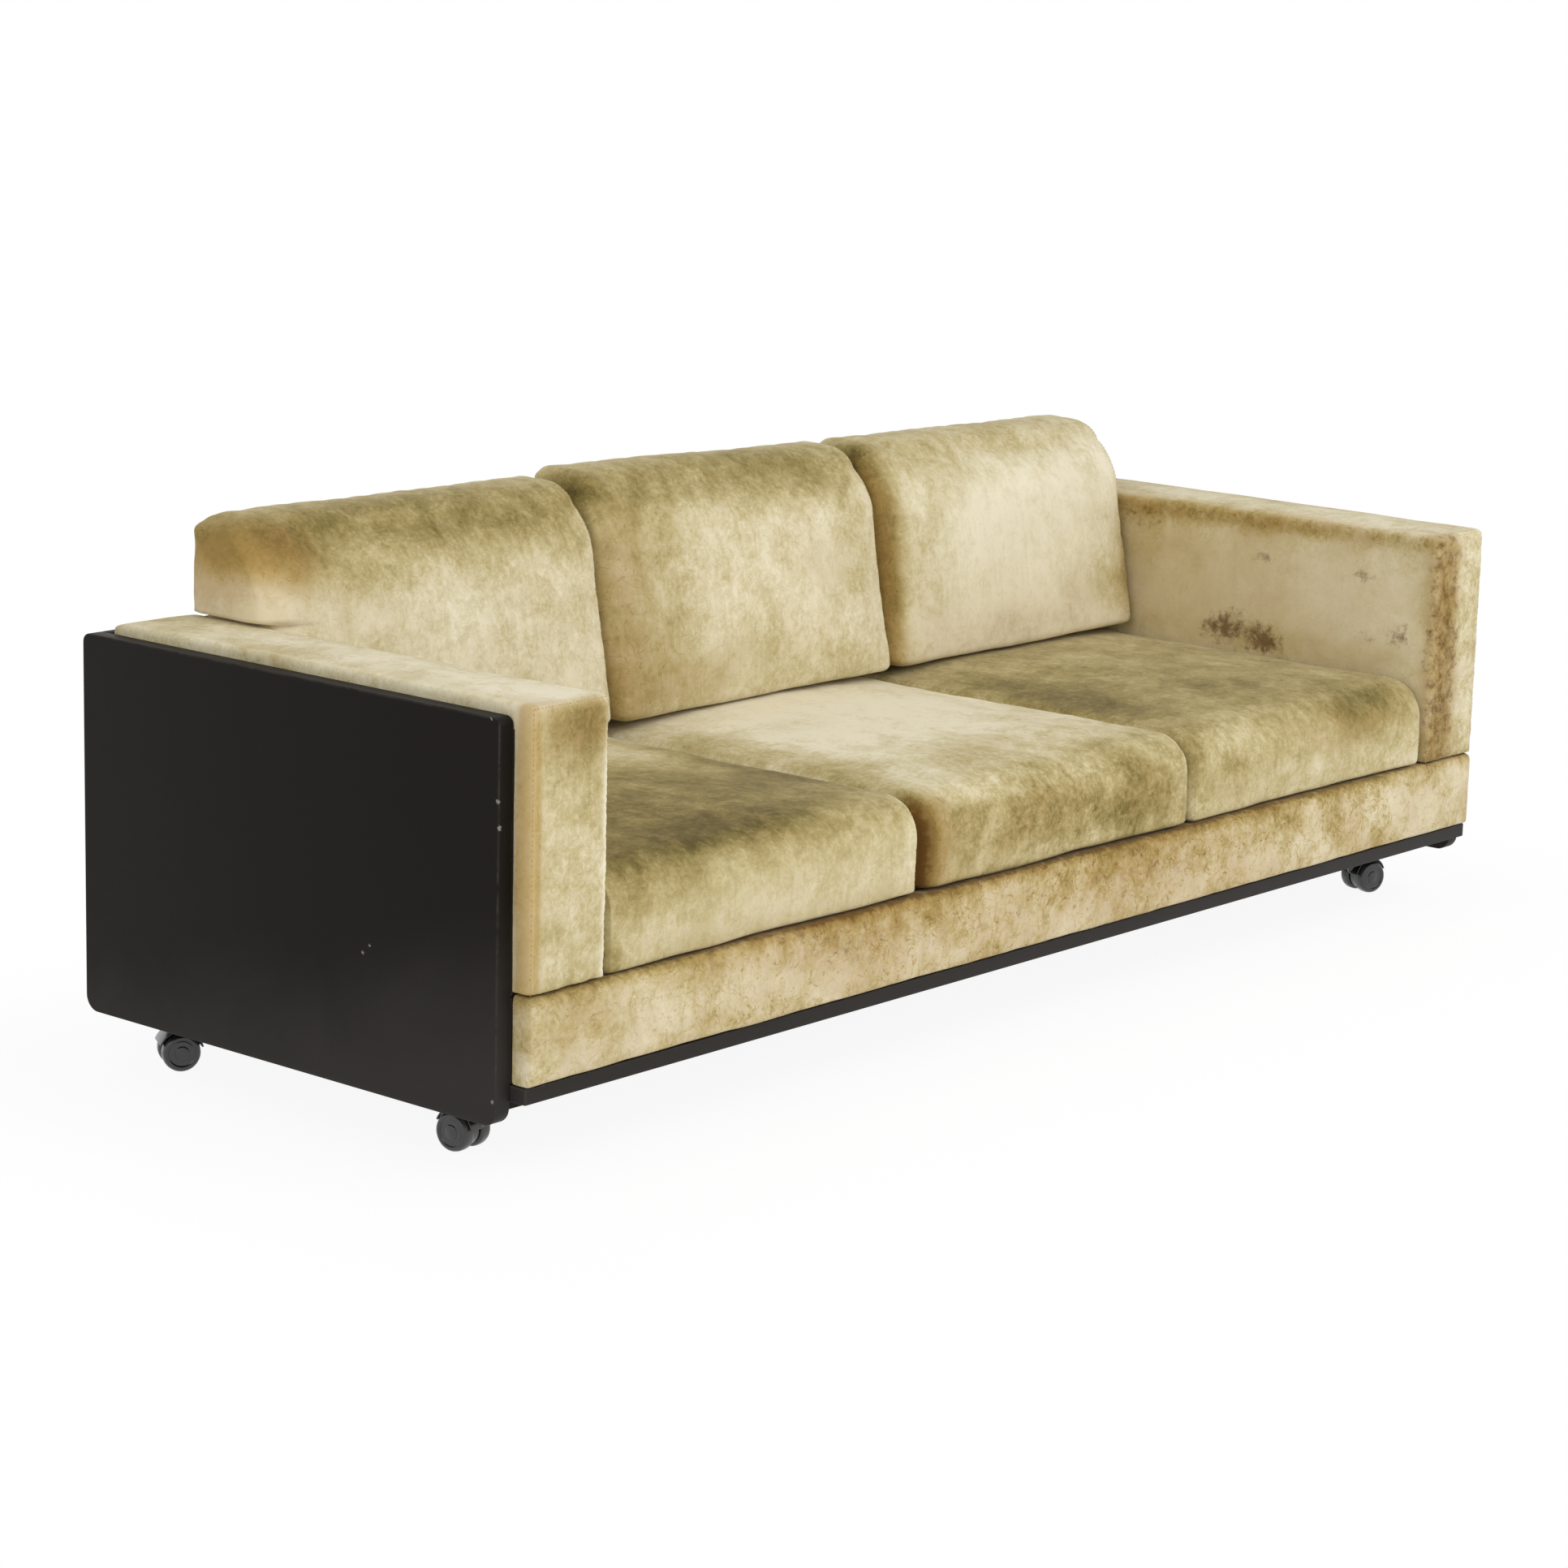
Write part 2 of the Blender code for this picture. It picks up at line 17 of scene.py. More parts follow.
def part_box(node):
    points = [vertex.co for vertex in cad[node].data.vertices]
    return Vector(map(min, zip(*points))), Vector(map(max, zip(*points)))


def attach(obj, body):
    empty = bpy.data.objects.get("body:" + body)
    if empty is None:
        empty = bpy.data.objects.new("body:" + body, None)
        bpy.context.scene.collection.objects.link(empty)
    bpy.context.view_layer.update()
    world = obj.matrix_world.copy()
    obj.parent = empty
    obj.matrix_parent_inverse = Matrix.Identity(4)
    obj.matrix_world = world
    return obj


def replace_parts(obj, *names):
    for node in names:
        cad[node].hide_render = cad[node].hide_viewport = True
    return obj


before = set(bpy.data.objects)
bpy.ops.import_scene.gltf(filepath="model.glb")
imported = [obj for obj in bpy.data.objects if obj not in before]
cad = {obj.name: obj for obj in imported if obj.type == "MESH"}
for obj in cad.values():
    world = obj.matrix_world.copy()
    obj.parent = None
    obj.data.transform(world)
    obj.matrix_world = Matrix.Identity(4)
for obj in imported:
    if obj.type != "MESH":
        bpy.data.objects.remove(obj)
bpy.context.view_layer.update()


# Castors: four twin-wheel furniture castors moulded in black nylon. A hood carries the wheels on a
# steel axle, one either side of its web, and turns on a bright stem that stands in a sleeve in the
# runner. The hoods and wheels are turned and swept here; sleeve, stem and axle are the CAD's own.
WHEEL_RADIUS = 0.026
TREAD_START = 0.0225
WEB_HALF, WEB_EASE = 0.006, 0.0015
WHEEL_START = WEB_HALF + 0.0008
TRAIL = 0.020
WELL_RADIUS = WHEEL_RADIUS + 0.0025
WEB_START, WEB_END, WEB_ROUNDING = 0.008, WELL_RADIUS + 0.001, 0.0008
HOOD_RADIUS = WELL_RADIUS + 0.0025
HOOD_HALF, HOOD_ROUNDING = WHEEL_START + 0.013, 0.0011
HOOD_START, HOOD_END = 22, 168
NECK_RADIUS, NECK_TOP, NECK_EASE = 0.0105, 0.075, 0.0012
AXLE_HOLE, STEM_HOLE = 0.0033, 0.0053
CASTORS = {
    "front_left": (-1.0027, -0.2355, 95), "front_right": (1.0027, -0.2355, -15),
    "rear_left": (-1.0027, 0.2975, 150), "rear_right": (1.0027, 0.2975, 40),
}


class Wire:
    """A value on its way through a finish. Sums on it add Math nodes."""

    def __init__(self, finish, socket):
        self.finish, self.socket = finish, socket

    def __add__(self, other):
        return self.finish.math("ADD", self, other)

    def __sub__(self, other):
        return self.finish.math("SUBTRACT", self, other)

    def __rsub__(self, other):
        return self.finish.math("SUBTRACT", other, self)

    def __mul__(self, other):
        return self.finish.math("MULTIPLY", self, other)

    __radd__, __rmul__ = __add__, __mul__


class Finish:
    """A procedural material that ends in one Principled shader, some of its sockets constants."""

    def __init__(self, name, constants):
        self.material = bpy.data.materials.new(name)
        self.material.use_nodes = True
        self.tree = self.material.node_tree
        self.shader = self.tree.nodes["Principled BSDF"]
        for socket, value in constants.items():
            self.shader.inputs[socket].default_value = value

    def plug(self, socket, value):
        if isinstance(value, Wire):
            self.tree.links.new(value.socket, socket)
        else:
            socket.default_value = value

    def node(self, kind, settings, sockets, out=0):
        """One node: its settings first, a ramp's stops among them, then its sockets' values or wires."""
        added = self.tree.nodes.new(kind)
        for key, value in settings.items():
            if key != "stops":
                setattr(added, key, value)
                continue
            elements = added.color_ramp.elements
            while len(elements) < len(value):
                elements.new(1.0)
            for element, (position, colour) in zip(elements, value):
                element.position, element.color = position, colour
        for key, value in sockets.items():
            self.plug(added.inputs[key], value)
        return Wire(self, added.outputs[out])

    def math(self, operation, a, b=0.0):
        return self.node("ShaderNodeMath", {"operation": operation}, {0: a, 1: b})

    def place(self, stretch=(1, 1, 1)):
        """Object coordinates, multiplied by stretch."""
        where = self.node("ShaderNodeTexCoord", {}, {}, "Object")
        return self.node("ShaderNodeMapping", {}, {"Vector": where, "Scale": stretch})

    def along(self, axis):
        """How far along X, Y or Z (0, 1 or 2)."""
        return self.node("ShaderNodeSeparateXYZ", {}, {"Vector": self.place()}, axis)

    def laid(self, name):
        """What is written on the piece's points under this name, or 0."""
        return self.node("ShaderNodeAttribute", {"attribute_name": name}, {}, "Fac")

    def cloud(self, scale, detail=3.0, rough=0.5, twist=0.0, stretch=(1, 1, 1)):
        return self.node("ShaderNodeTexNoise", {}, {
            "Vector": self.place(stretch), "Scale": scale, "Detail": detail,
            "Roughness": rough, "Distortion": twist}, "Fac")

    def ribs(self, direction, scale, more):
        return self.node("ShaderNodeTexWave", {"bands_direction": direction},
                         {"Vector": self.place(), "Scale": scale, **more}, "Fac")

    def step(self, value, low, high):
        """0 below low and 1 above high, eased between."""
        return self.node("ShaderNodeMapRange", {"interpolation_type": "SMOOTHSTEP"},
                         {"Value": value, "From Min": low, "From Max": high})

    def mix(self, share, a, b):
        return self.node("ShaderNodeMix", {"data_type": "RGBA"}, {0: share, 6: a, 7: b}, 2)

    def ramp(self, value, *stops):
        return self.node("ShaderNodeValToRGB", {"stops": stops}, {"Fac": value})

    def bump(self, height, depth, strength=1.0, under=None):
        sockets = {"Height": height, "Distance": depth, "Strength": strength}
        if under:
            sockets["Normal"] = under
        return self.node("ShaderNodeBump", {}, sockets)

    def shows(self, colour, roughness, normal):
        for socket, value in (("Base Color", colour), ("Roughness", roughness), ("Normal", normal)):
            self.plug(self.shader.inputs[socket], value)
        return self.material


def tone(code):
    """A colour written as six hex digits, as the renderer takes it."""
    parts = [int(code[i:i + 2], 16) / 255 for i in (0, 2, 4)]
    return (*(c / 12.92 if c <= 0.04045 else ((c + 0.055) / 1.055) ** 2.4 for c in parts), 1.0)


def nylon_finish():
    finish = Finish("black_nylon", {"Specular IOR Level": 0.5, "Coat Weight": 0.6, "Coat Roughness": 0.10})
    dust, pebble = finish.cloud(90, 4, 0.6), finish.cloud(2200, 2)
    scuffed = finish.step(dust + 0.30 * finish.laid("tread"), 0.55, 1.00)
    colour = finish.mix(scuffed, tone("121214"), tone("403d3b"))
    return finish.shows(colour, 0.24 + 0.5 * scuffed, finish.bump(pebble, 0.00015, 0.5))


def steel_finish():
    finish = Finish("bright_steel", {"Metallic": 1.0})
    haze, lines = finish.cloud(60, 3), finish.cloud(40, 2, stretch=(1, 1, 60))
    colour = finish.mix(haze, tone("c9c7c3"), tone("a9a6a1"))
    return finish.shows(colour, 0.18 + 0.22 * haze, finish.bump(lines, 0.0001, 0.3))


def revolved(profile, sides, turn):
    """A closed profile of (radius, height) turned about Z, then moved by turn."""
    bm = bmesh.new()
    angles = [2 * math.pi * i / sides for i in range(sides)]
    rings = []
    for radius, height in profile:
        used = angles if radius > 1e-6 else angles[:1]
        rings.append([bm.verts.new((radius * math.cos(a), radius * math.sin(a), height)) for a in used])
    closing = [(rings[-1], rings[0])] if len(rings[0]) > 1 else []
    for low, high in [*zip(rings, rings[1:]), *closing]:
        for i, j in zip(range(sides), [*range(1, sides), 0]):
            loop = [low[i % len(low)], low[j % len(low)], high[j % len(high)], high[i % len(high)]]
            loop = list(dict.fromkeys(loop))
            if len(loop) > 2:
                bm.faces.new(loop)
    bmesh.ops.recalc_face_normals(bm, faces=bm.faces)
    bm.transform(turn)
    return bm


def tube(rings):
    """A skin over rings of points, each joined to the next, with both ends closed."""
    bm = bmesh.new()
    rings = [[bm.verts.new(point) for point in ring] for ring in rings]
    for low, high in zip(rings, rings[1:]):
        for i in range(len(low)):
            j = (i + 1) % len(low)
            bm.faces.new([low[i], low[j], high[j], high[i]])
    bm.faces.new(rings[0])
    bm.faces.new(rings[-1])
    bmesh.ops.recalc_face_normals(bm, faces=bm.faces)
    return bm


def swept(section, steps):
    """A closed section of (across, radius) carried round the axle from the hood's start to its end."""
    angles = [math.radians(HOOD_START + (HOOD_END - HOOD_START) * i / steps) for i in range(steps + 1)]
    return tube([[(TRAIL + r * math.cos(a), y, WHEEL_RADIUS + r * math.sin(a)) for y, r in section]
                 for a in angles])


def corner_arc(across, up, radius, start, steps):
    """A quarter turn about a corner's centre, anticlockwise from an angle in degrees."""
    angles = [math.radians(start + 90 * i / steps) for i in range(steps + 1)]
    return [(across + radius * math.cos(a), up + radius * math.sin(a)) for a in angles]


def rounded_section(half, low, high, r, steps=4):
    corners = ((half - r, high - r, 0), (r - half, high - r, 90),
               (r - half, low + r, 180), (half - r, low + r, 270))
    return [point for across, up, start in corners for point in corner_arc(across, up, r, start, steps)]


def placed(name, data):
    piece = bpy.data.objects.new(name, data)
    bpy.context.scene.collection.objects.link(piece)
    return piece


def mesh_of(name, bm):
    mesh = bpy.data.meshes.new(name)
    bm.to_mesh(mesh)
    bm.free()
    return mesh


def made(name, shells, finish, crease=40):
    """One object of several closed shells, smooth except at edges sharper than crease."""
    bm = bmesh.new()
    for shell in shells:
        joined = mesh_of(name, shell)
        bm.from_mesh(joined)
        bpy.data.meshes.remove(joined)
    mesh = mesh_of(name, bm)
    mesh.shade_smooth()
    mesh.set_sharp_from_angle(angle=math.radians(crease))
    mesh.materials.append(finish)
    piece = placed(name, mesh)
    return piece


def coat(node, finish):
    """Gives a piece of the CAD that stays in view its finish."""
    cad[node].data.materials.clear()
    cad[node].data.materials.append(finish)


nylon, steel = nylon_finish(), steel_finish()
across_axle = Matrix.Translation((TRAIL, 0, WHEEL_RADIUS)) @ Matrix.Rotation(math.radians(-90), 4, "X")
wheel_profile = [
    (0, 0.0140), (AXLE_HOLE, 0.0140), (AXLE_HOLE, 0.0006), (0.0040, 0), (0.0222, 0), (0.0237, 0.0004),
    (0.0249, 0.0014), (0.0257, 0.0030), (0.0260, 0.0050), (0.0260, 0.0110), (0.0257, 0.0138),
    (0.0249, 0.0162), (0.0237, 0.0180), (0.0222, 0.0188), (0.0205, 0.0190), (0.0189, 0.0188),
    (0.0182, 0.0178), (0.0172, 0.0174), (0.0162, 0.0178), (0.0154, 0.0180), (0.0112, 0.0172),
    (0.0100, 0.0174), (0.0095, 0.0183), (0.0086, 0.0187), (0, 0.0187),
]
hub_profile = [
    (AXLE_HOLE, -WEB_HALF), (0.0205, -WEB_HALF), (0.0220, WEB_EASE - WEB_HALF),
    (0.0220, WEB_HALF - WEB_EASE), (0.0205, WEB_HALF), (AXLE_HOLE, WEB_HALF),
]
collar_profile = [
    (STEM_HOLE, 0.0585), (0.0085, 0.0310), (NECK_RADIUS, 0.0330),
    *((NECK_RADIUS, 0.0345 + 0.0015 * i) for i in range(24)),
    (0.0098, 0.0696), (0.0098, 0.0708), (NECK_RADIUS, 0.0714), (NECK_RADIUS, NECK_TOP - NECK_EASE),
    (NECK_RADIUS - NECK_EASE, NECK_TOP), (STEM_HOLE, NECK_TOP),
]


def swivel_collar():
    """The hood's collar: round where it stands clear, and no thicker than the web between the wheels."""
    collar = revolved(collar_profile, sides=72, turn=Matrix.Identity(4))
    for vert in collar.verts:
        if math.hypot(vert.co.x - TRAIL, vert.co.z - WHEEL_RADIUS) < WELL_RADIUS:
            vert.co.y = max(-WEB_HALF, min(WEB_HALF, vert.co.y))
    return collar


for corner, (x, y, heading) in CASTORS.items():
    stand = Matrix.Translation((x, y, 0)) @ Matrix.Rotation(math.radians(heading), 4, "Z")
    shells = [
        swept(rounded_section(HOOD_HALF, WELL_RADIUS, HOOD_RADIUS, HOOD_ROUNDING), steps=56),
        swept(rounded_section(WEB_HALF, WEB_START, WEB_END, WEB_ROUNDING, steps=2), steps=40),
        revolved(hub_profile, sides=56, turn=across_axle),
        swivel_collar(),
    ]
    for shell in shells:
        shell.transform(stand)
    hood = made(f"hood_{corner}", shells, nylon)
    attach(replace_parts(hood, f"castor_hood_{corner}"), f"castor_{corner}")
    for hand, side in (("a", 1), ("b", -1)):
        outwards = stand @ Matrix.Translation((TRAIL, side * WHEEL_START, WHEEL_RADIUS))
        outwards = outwards @ Matrix.Rotation(math.radians(-90 * side), 4, "X")
        turned = revolved(wheel_profile, sides=64, turn=outwards)
        wheel = made(f"wheel_{corner}_{hand}", [turned], nylon)
        radii = [(outwards.inverted() @ v.co).xy.length for v in wheel.data.vertices]
        worn = wheel.data.attributes.new("tread", "FLOAT", "POINT")
        worn.data.foreach_set("value", [1.0 if radius > TREAD_START else 0.0 for radius in radii])
        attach(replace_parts(wheel, f"castor_wheel_{corner}_{hand}"), f"wheel_{corner}_{hand}")
    for part in ("socket", "stem", "axle"):
        coat(f"castor_{part}_{corner}", steel)


# Frame timber: the rails of the seat platform and the posts and top rails of the arms are planed
# softwood, screwed and glued. Their ends against the side boards are painted black, as painted shade for
# the shadow gap there, and the castor runners are coloured near black. The CAD's pieces stay; each
# gets growth rings drawn out along its own length.
END_SHADE_FROM, END_SHADE_ALL = 1.052, 1.060
TIMBERS = ("front_rail", "rear_rail", "end_rail", "cross_rail",
           "arm_front_post", "arm_rear_post", "arm_top_rail")
GRAIN_ACROSS, GRAIN_ALONG = 26.0, 1.3


def timber_finish(name, axis):
    """Sawn timber with the grain running along one axis."""
    finish = Finish(name, {"Specular IOR Level": 0.3})
    drawn = [GRAIN_ALONG if n == axis else GRAIN_ACROSS for n in range(3)]
    rings, fibre = finish.cloud(1.6, 4, 0.55, 0.7, drawn), finish.cloud(14, 3, 0.6, 0, drawn)
    bands = finish.math("PINGPONG", 5.5 * rings, 1.0)
    colour = finish.ramp(0.62 * bands + 0.28 * fibre + 0.2 * finish.cloud(3, 2),
                         (0.1, tone("d9b98a")), (0.55, tone("c79f69")), (0.9, tone("9c7342")))
    # painted shade: each end turns black over its last few millimetres, where it sits in the shadow gap
    # beside a side board
    outwards = finish.math("ABSOLUTE", finish.along(0))
    colour = finish.mix(finish.step(outwards, END_SHADE_FROM, END_SHADE_ALL), colour, tone("1c1611"))
    return finish.shows(colour, 0.55 + 0.2 * fibre, finish.bump(fibre, 0.0006, 0.5))


def blackened_finish():
    """Timber coloured near black, worn a little brown."""
    finish = Finish("blackened_timber", {"Specular IOR Level": 0.15})
    fibre = finish.cloud(14, 3, 0.6, 0, (GRAIN_ACROSS, GRAIN_ALONG, GRAIN_ACROSS))
    worn = finish.cloud(18, 4, 0.6)
    colour = finish.ramp(0.6 * fibre + 0.5 * worn, (0.3, tone("12100e")), (0.85, tone("332b24")))
    return finish.shows(colour, 0.6 + 0.2 * fibre, finish.bump(fibre, 0.0006, 0.5))


timbers = [timber_finish(f"timber_along_{axis}", index) for index, axis in enumerate("xyz")]
blackened = blackened_finish()
for node in cad:
    # the castor runners are coloured near black
    if node.startswith("castor_runner"):
        coat(node, blackened)
    if node.startswith(TIMBERS) and node != "front_rail_cover":
        low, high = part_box(node)
        size = high - low
        coat(node, timbers[max(range(3), key=lambda axis: size[axis])])


# Case: two side boards, a back board between them and a base board under everything, all in black
# satin lacquer on board. Corners are rounded and the arrises eased; the lacquer is rubbed grey along
# them and chipped in a few places, most of them on the left-hand board. Its colour is painted greyer
# towards the floor and the front, as a painted reflection of the pale floor.
ARRIS = 0.0016
TOP_CORNER, LOW_CORNER = 0.012, 0.022
CORNER_STEPS = 14
SHARP_EDGE = math.radians(50)
CHIP_MARGIN = 0.005
CHIPS = [
    (-1.100, -0.364, 0.488, 0.0036), (-1.098, -0.3655, 0.455, 0.0032), (-1.100, -0.131, 0.257, 0.0028),
    (-1.100, -0.143, 0.268, 0.0020), (-1.100, -0.360, 0.111, 0.0030), (-1.100, -0.352, 0.588, 0.0022),
    (1.100, 0.210, 0.585, 0.0030), (0.640, 0.4015, 0.583, 0.0032),
]


def lacquer_finish(name, low, high):
    """Black satin lacquer for a board that fills the box from low to high."""
    finish = Finish(name, {"Specular IOR Level": 0.09})
    parts = [finish.along(axis) for axis in range(3)]
    insides = []
    for axis in range(3):
        middle, half = (low[axis] + high[axis]) / 2, (high[axis] - low[axis]) / 2
        insides.append(half - finish.math("ABSOLUTE", parts[axis] - middle))
    x, y, z = insides
    wider = finish.math("MAXIMUM", x, y)
    from_edge = finish.math("MAXIMUM", finish.math("MINIMUM", x, y), finish.math("MINIMUM", wider, z))
    grain, haze = finish.cloud(420, 3, 0.6), finish.cloud(5, 4, 0.6, 0.4)
    scuff, peel = finish.cloud(38, 5, 0.65, 0.8), finish.cloud(160, 2)
    rubbed = (1 - finish.step(from_edge, 0.0002, 0.0034)) * finish.step(scuff + 0.25 * haze, 0.42, 0.80)
    # painted reflection: the lacquer is made greyer low down and towards the front, as the pale floor shows
    # in it
    floor_reflection_grey = (1 - finish.step(parts[2] + 0.12 * haze + 0.24 * parts[1], 0.10, 0.34)) * 0.8
    colour = finish.mix(haze, tone("14100e"), tone("1a1714"))
    colour = finish.mix(floor_reflection_grey, colour, tone("353230"))
    colour = finish.mix(0.55 * rubbed, colour, tone("4c443c"))
    depth = 0.25 * peel
    chipped = None
    for *centre, radius in CHIPS:
        if all(low[i] - CHIP_MARGIN < c < high[i] + CHIP_MARGIN for i, c in enumerate(centre)):
            away = finish.node("ShaderNodeVectorMath", {"operation": "DISTANCE"},
                               {0: finish.place(), 1: centre}, "Value")
            spot = 1 - finish.step(away + 0.008 * (grain - 0.5), 0.55 * radius, radius)
            chipped = finish.math("MAXIMUM", chipped, spot) if chipped else spot
    if chipped:
        colour = finish.mix(chipped, colour, tone("847d73"))
        depth = depth - 2.0 * chipped
    rough = 0.36 + 0.16 * haze + 0.10 * scuff + 0.22 * rubbed
    return finish.shows(colour, rough, finish.bump(depth, 0.0002, 0.6))


def board_corner(low, high, rear, top):
    """A rounded corner of a board's outline in (y, z)."""
    radius = TOP_CORNER if top else LOW_CORNER
    start = {(False, False): 180, (True, False): 270, (True, True): 0, (False, True): 90}[rear, top]
    return corner_arc(high.y - radius if rear else low.y + radius,
                      high.z - radius if top else low.z + radius, radius, start, CORNER_STEPS)


def lacquered_board(node, outline):
    """A board whose outline in (y, z) is drawn out between the CAD board's two ends, with eased edges."""
    low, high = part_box(node)
    bm = tube([[(x, y, z) for y, z in outline] for x in (low.x, high.x)])
    sharp = [e for e in bm.edges if e.calc_face_angle() > SHARP_EDGE]
    bmesh.ops.bevel(bm, geom=sharp, offset=ARRIS, segments=3, profile=0.5, affect="EDGES", clamp_overlap=True)
    lacquer = lacquer_finish(f"lacquer_{node}", low, high)
    board = made(f"{node}_board", [bm], lacquer, crease=32)
    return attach(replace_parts(board, node), "sofa")


for node in ("side_panel_left", "side_panel_right", "back_panel", "base_board"):
    low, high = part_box(node)
    outline = [(low.y, low.z), (high.y, low.z), (high.y, high.z), (low.y, high.z)]
    if node != "base_board":
        ends = [board_corner(low, high, *corner) for corner in ((True, False), (True, True))]
        outline = [outline[0], *ends[0], *ends[1], outline[3]]
    if node.startswith("side_panel"):
        front = [board_corner(low, high, *corner) for corner in ((False, False), (False, True))]
        outline = [*front[0], *outline[1:-1], *front[1]]
    lacquered_board(node, outline)


# Seat webbing: nine brown elastic straps from front to back, tacked to the rails and woven over and
# under two straps from arm to arm. Each strap is a flat ribbon that rises and dips at its crossings.
STRAP_WIDTH = 0.060
STRAP_THICK = 0.0009
STRAP_DIP = 0.0005
STRAP_PIECE = 0.012
DIP_REACH = 0.075
SEAT_HALF = 0.936
RAIL_BACK, REAR_RAIL_FRONT = -0.3352, 0.3459
COLUMNS, ROWS = 9, 2
low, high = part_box("seat_webbing")
strap_level = (low.z + high.z) / 2
column_step = 2 * SEAT_HALF / COLUMNS
columns = [column_step * (i + 0.5) - SEAT_HALF for i in range(COLUMNS)]
rows = [RAIL_BACK + (REAR_RAIL_FRONT - RAIL_BACK) * (i + 1) / (ROWS + 1) for i in range(ROWS)]


def webbing_finish():
    finish = Finish("elastic_webbing", {"Specular IOR Level": 0.2})
    ribs = finish.ribs("DIAGONAL", 160.0, {"Distortion": 0.4})
    colour = finish.mix(ribs, tone("5a4330"), tone("8a6b4c"))
    return finish.shows(colour, 0.8 + 0.1 * ribs, finish.bump(ribs, 0.0004, 0.6))


def strap_shell(start, end, across, lengthways, crossings, first_over):
    """One ribbon along X or Y, a little higher where it goes over and lower where it goes under."""
    count = int((end - start) / STRAP_PIECE)
    rings = []
    for i in range(count + 1):
        along = start + (end - start) * i / count
        middle = strap_level
        for number, crossing in enumerate(crossings):
            near = max(0.0, 1 - abs(along - crossing) / DIP_REACH)
            over = 1 if (number % 2 == 0) == first_over else -1
            middle += over * STRAP_DIP * min(1.0, 2 * near) ** 2
        ring = []
        for side, level in ((-1, -1), (1, -1), (1, 1), (-1, 1)):
            w, h = across + side * STRAP_WIDTH / 2, middle + level * STRAP_THICK / 2
            ring.append((along, w, h) if lengthways == 0 else (w, along, h))
        rings.append(ring)
    return tube(rings)


straps = [strap_shell(low.y, high.y, x, 1, rows, i % 2 == 0) for i, x in enumerate(columns)]
straps += [strap_shell(low.x, high.x, y, 0, columns, i % 2 == 1) for i, y in enumerate(rows)]
webbing = made("webbing_straps", straps, webbing_finish())
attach(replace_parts(webbing, "seat_webbing"), "sofa")


# Deck cloth: a dark cotton platform lining pulled tight over the webbing and tacked round its edge,
# so it shows only when a seat cushion is drawn out. It dips very slightly between the straps.
DECK_NET = 120, 44
DECK_THICK, DECK_CLEAR = 0.0010, 0.00004
DECK_DIP, TACKED_EDGE = 0.00012, 0.03


def lining_finish():
    finish = Finish("deck_lining", {"Specular IOR Level": 0.2})
    warp, weft = (finish.ribs(axis, 260.0, {"Distortion": 1.0, "Detail Scale": 3.0}) for axis in "XY")
    slub, fade = finish.cloud(55, 3, 0.6, 0.5, (1, 8, 1)), finish.cloud(4, 3)
    weave = warp * weft
    colour = finish.ramp(0.45 * weave + 0.3 * slub + 0.3 * fade,
                         (0.15, tone("3a342c")), (0.5, tone("544b40")), (0.85, tone("6d6355")))
    return finish.shows(colour, 0.86 + 0.1 * weave, finish.bump(weave, 0.0004, 0.5))


low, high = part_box("deck_cloth")
bm = bmesh.new()
knots = {}
for i, j in itertools.product(range(DECK_NET[0] + 1), range(DECK_NET[1] + 1)):
    x = low.x + (high.x - low.x) * i / DECK_NET[0]
    y = low.y + (high.y - low.y) * j / DECK_NET[1]
    edge = min(x - low.x, high.x - x, y - low.y, high.y - y)
    between = 1 - math.cos(2 * math.pi * (x - columns[0]) / column_step)
    dip = min(1.0, edge / TACKED_EDGE) * DECK_DIP * between
    knots[i, j] = bm.verts.new((x, y, high.z - DECK_CLEAR - dip))
for i, j in itertools.product(range(DECK_NET[0]), range(DECK_NET[1])):
    bm.faces.new([knots[i, j], knots[i + 1, j], knots[i + 1, j + 1], knots[i, j + 1]])
deck = made("deck_lining_sheet", [bm], lining_finish())
thick = deck.modifiers.new("cloth thickness", "SOLIDIFY")
thick.thickness, thick.offset = DECK_THICK, -1
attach(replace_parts(deck, "deck_cloth"), "sofa")


# Front rail cover: velvet drawn over a layer of felt on the front rail, turned under along the base
# board and up under the seat cushions. It is the first velvet piece, so the cutting of a padded block,
# its stuffing by simulation, the brushing of its pile with painted light and shade, and the velvet
# itself are set out here. Its top edge is painted darker, as shade where the seat cushions sit on it.
CLOTH_STEPS = 20
DITCH_DEEP, DITCH_WIDE = 0.0016, 0.007
PUCKER_DEEP, PUCKER_WIDE = 0.0011, 0.022
EIGHTH_TURN, EDGE_SPAN = 0.785, 0.55
RAIL_FRONT_IN = 0.003
RAIL_NAP_AND_SHADING = [
    (-490, -400, 225, 70, 50, 22, -20), (140, -400, 230, 70, 50, 20, -22),
    (-1020, -400, 215, 70, 50, 30, -10), (-860, -400, 170, 60, 50, 30, 12),
    (630, -400, 200, 120, 50, 30, -2), (-150, -400, 190, 100, 50, 30, 12), (20, -400, 212, 60, 50, 24, -18),
    (1000, -400, 190, 100, 50, 40, 10), (620, -400, 170, 300, 50, 40, 5),
    (-355, -400, 215, 50, 50, 25, -20), (920, -400, 225, 60, 50, 22, -20),
    (-700, -400, 175, 120, 50, 30, 8), (50, -400, 155, 500, 50, 25, 14), (-950, -400, 150, 120, 50, 12, 10),
    # the first stroke here is painted shade along the top edge, under the seat cushions
    (0, -400, 242, 1300, 100, 10, -35), (0, -400, 190, 1300, 100, 200, 6),
]
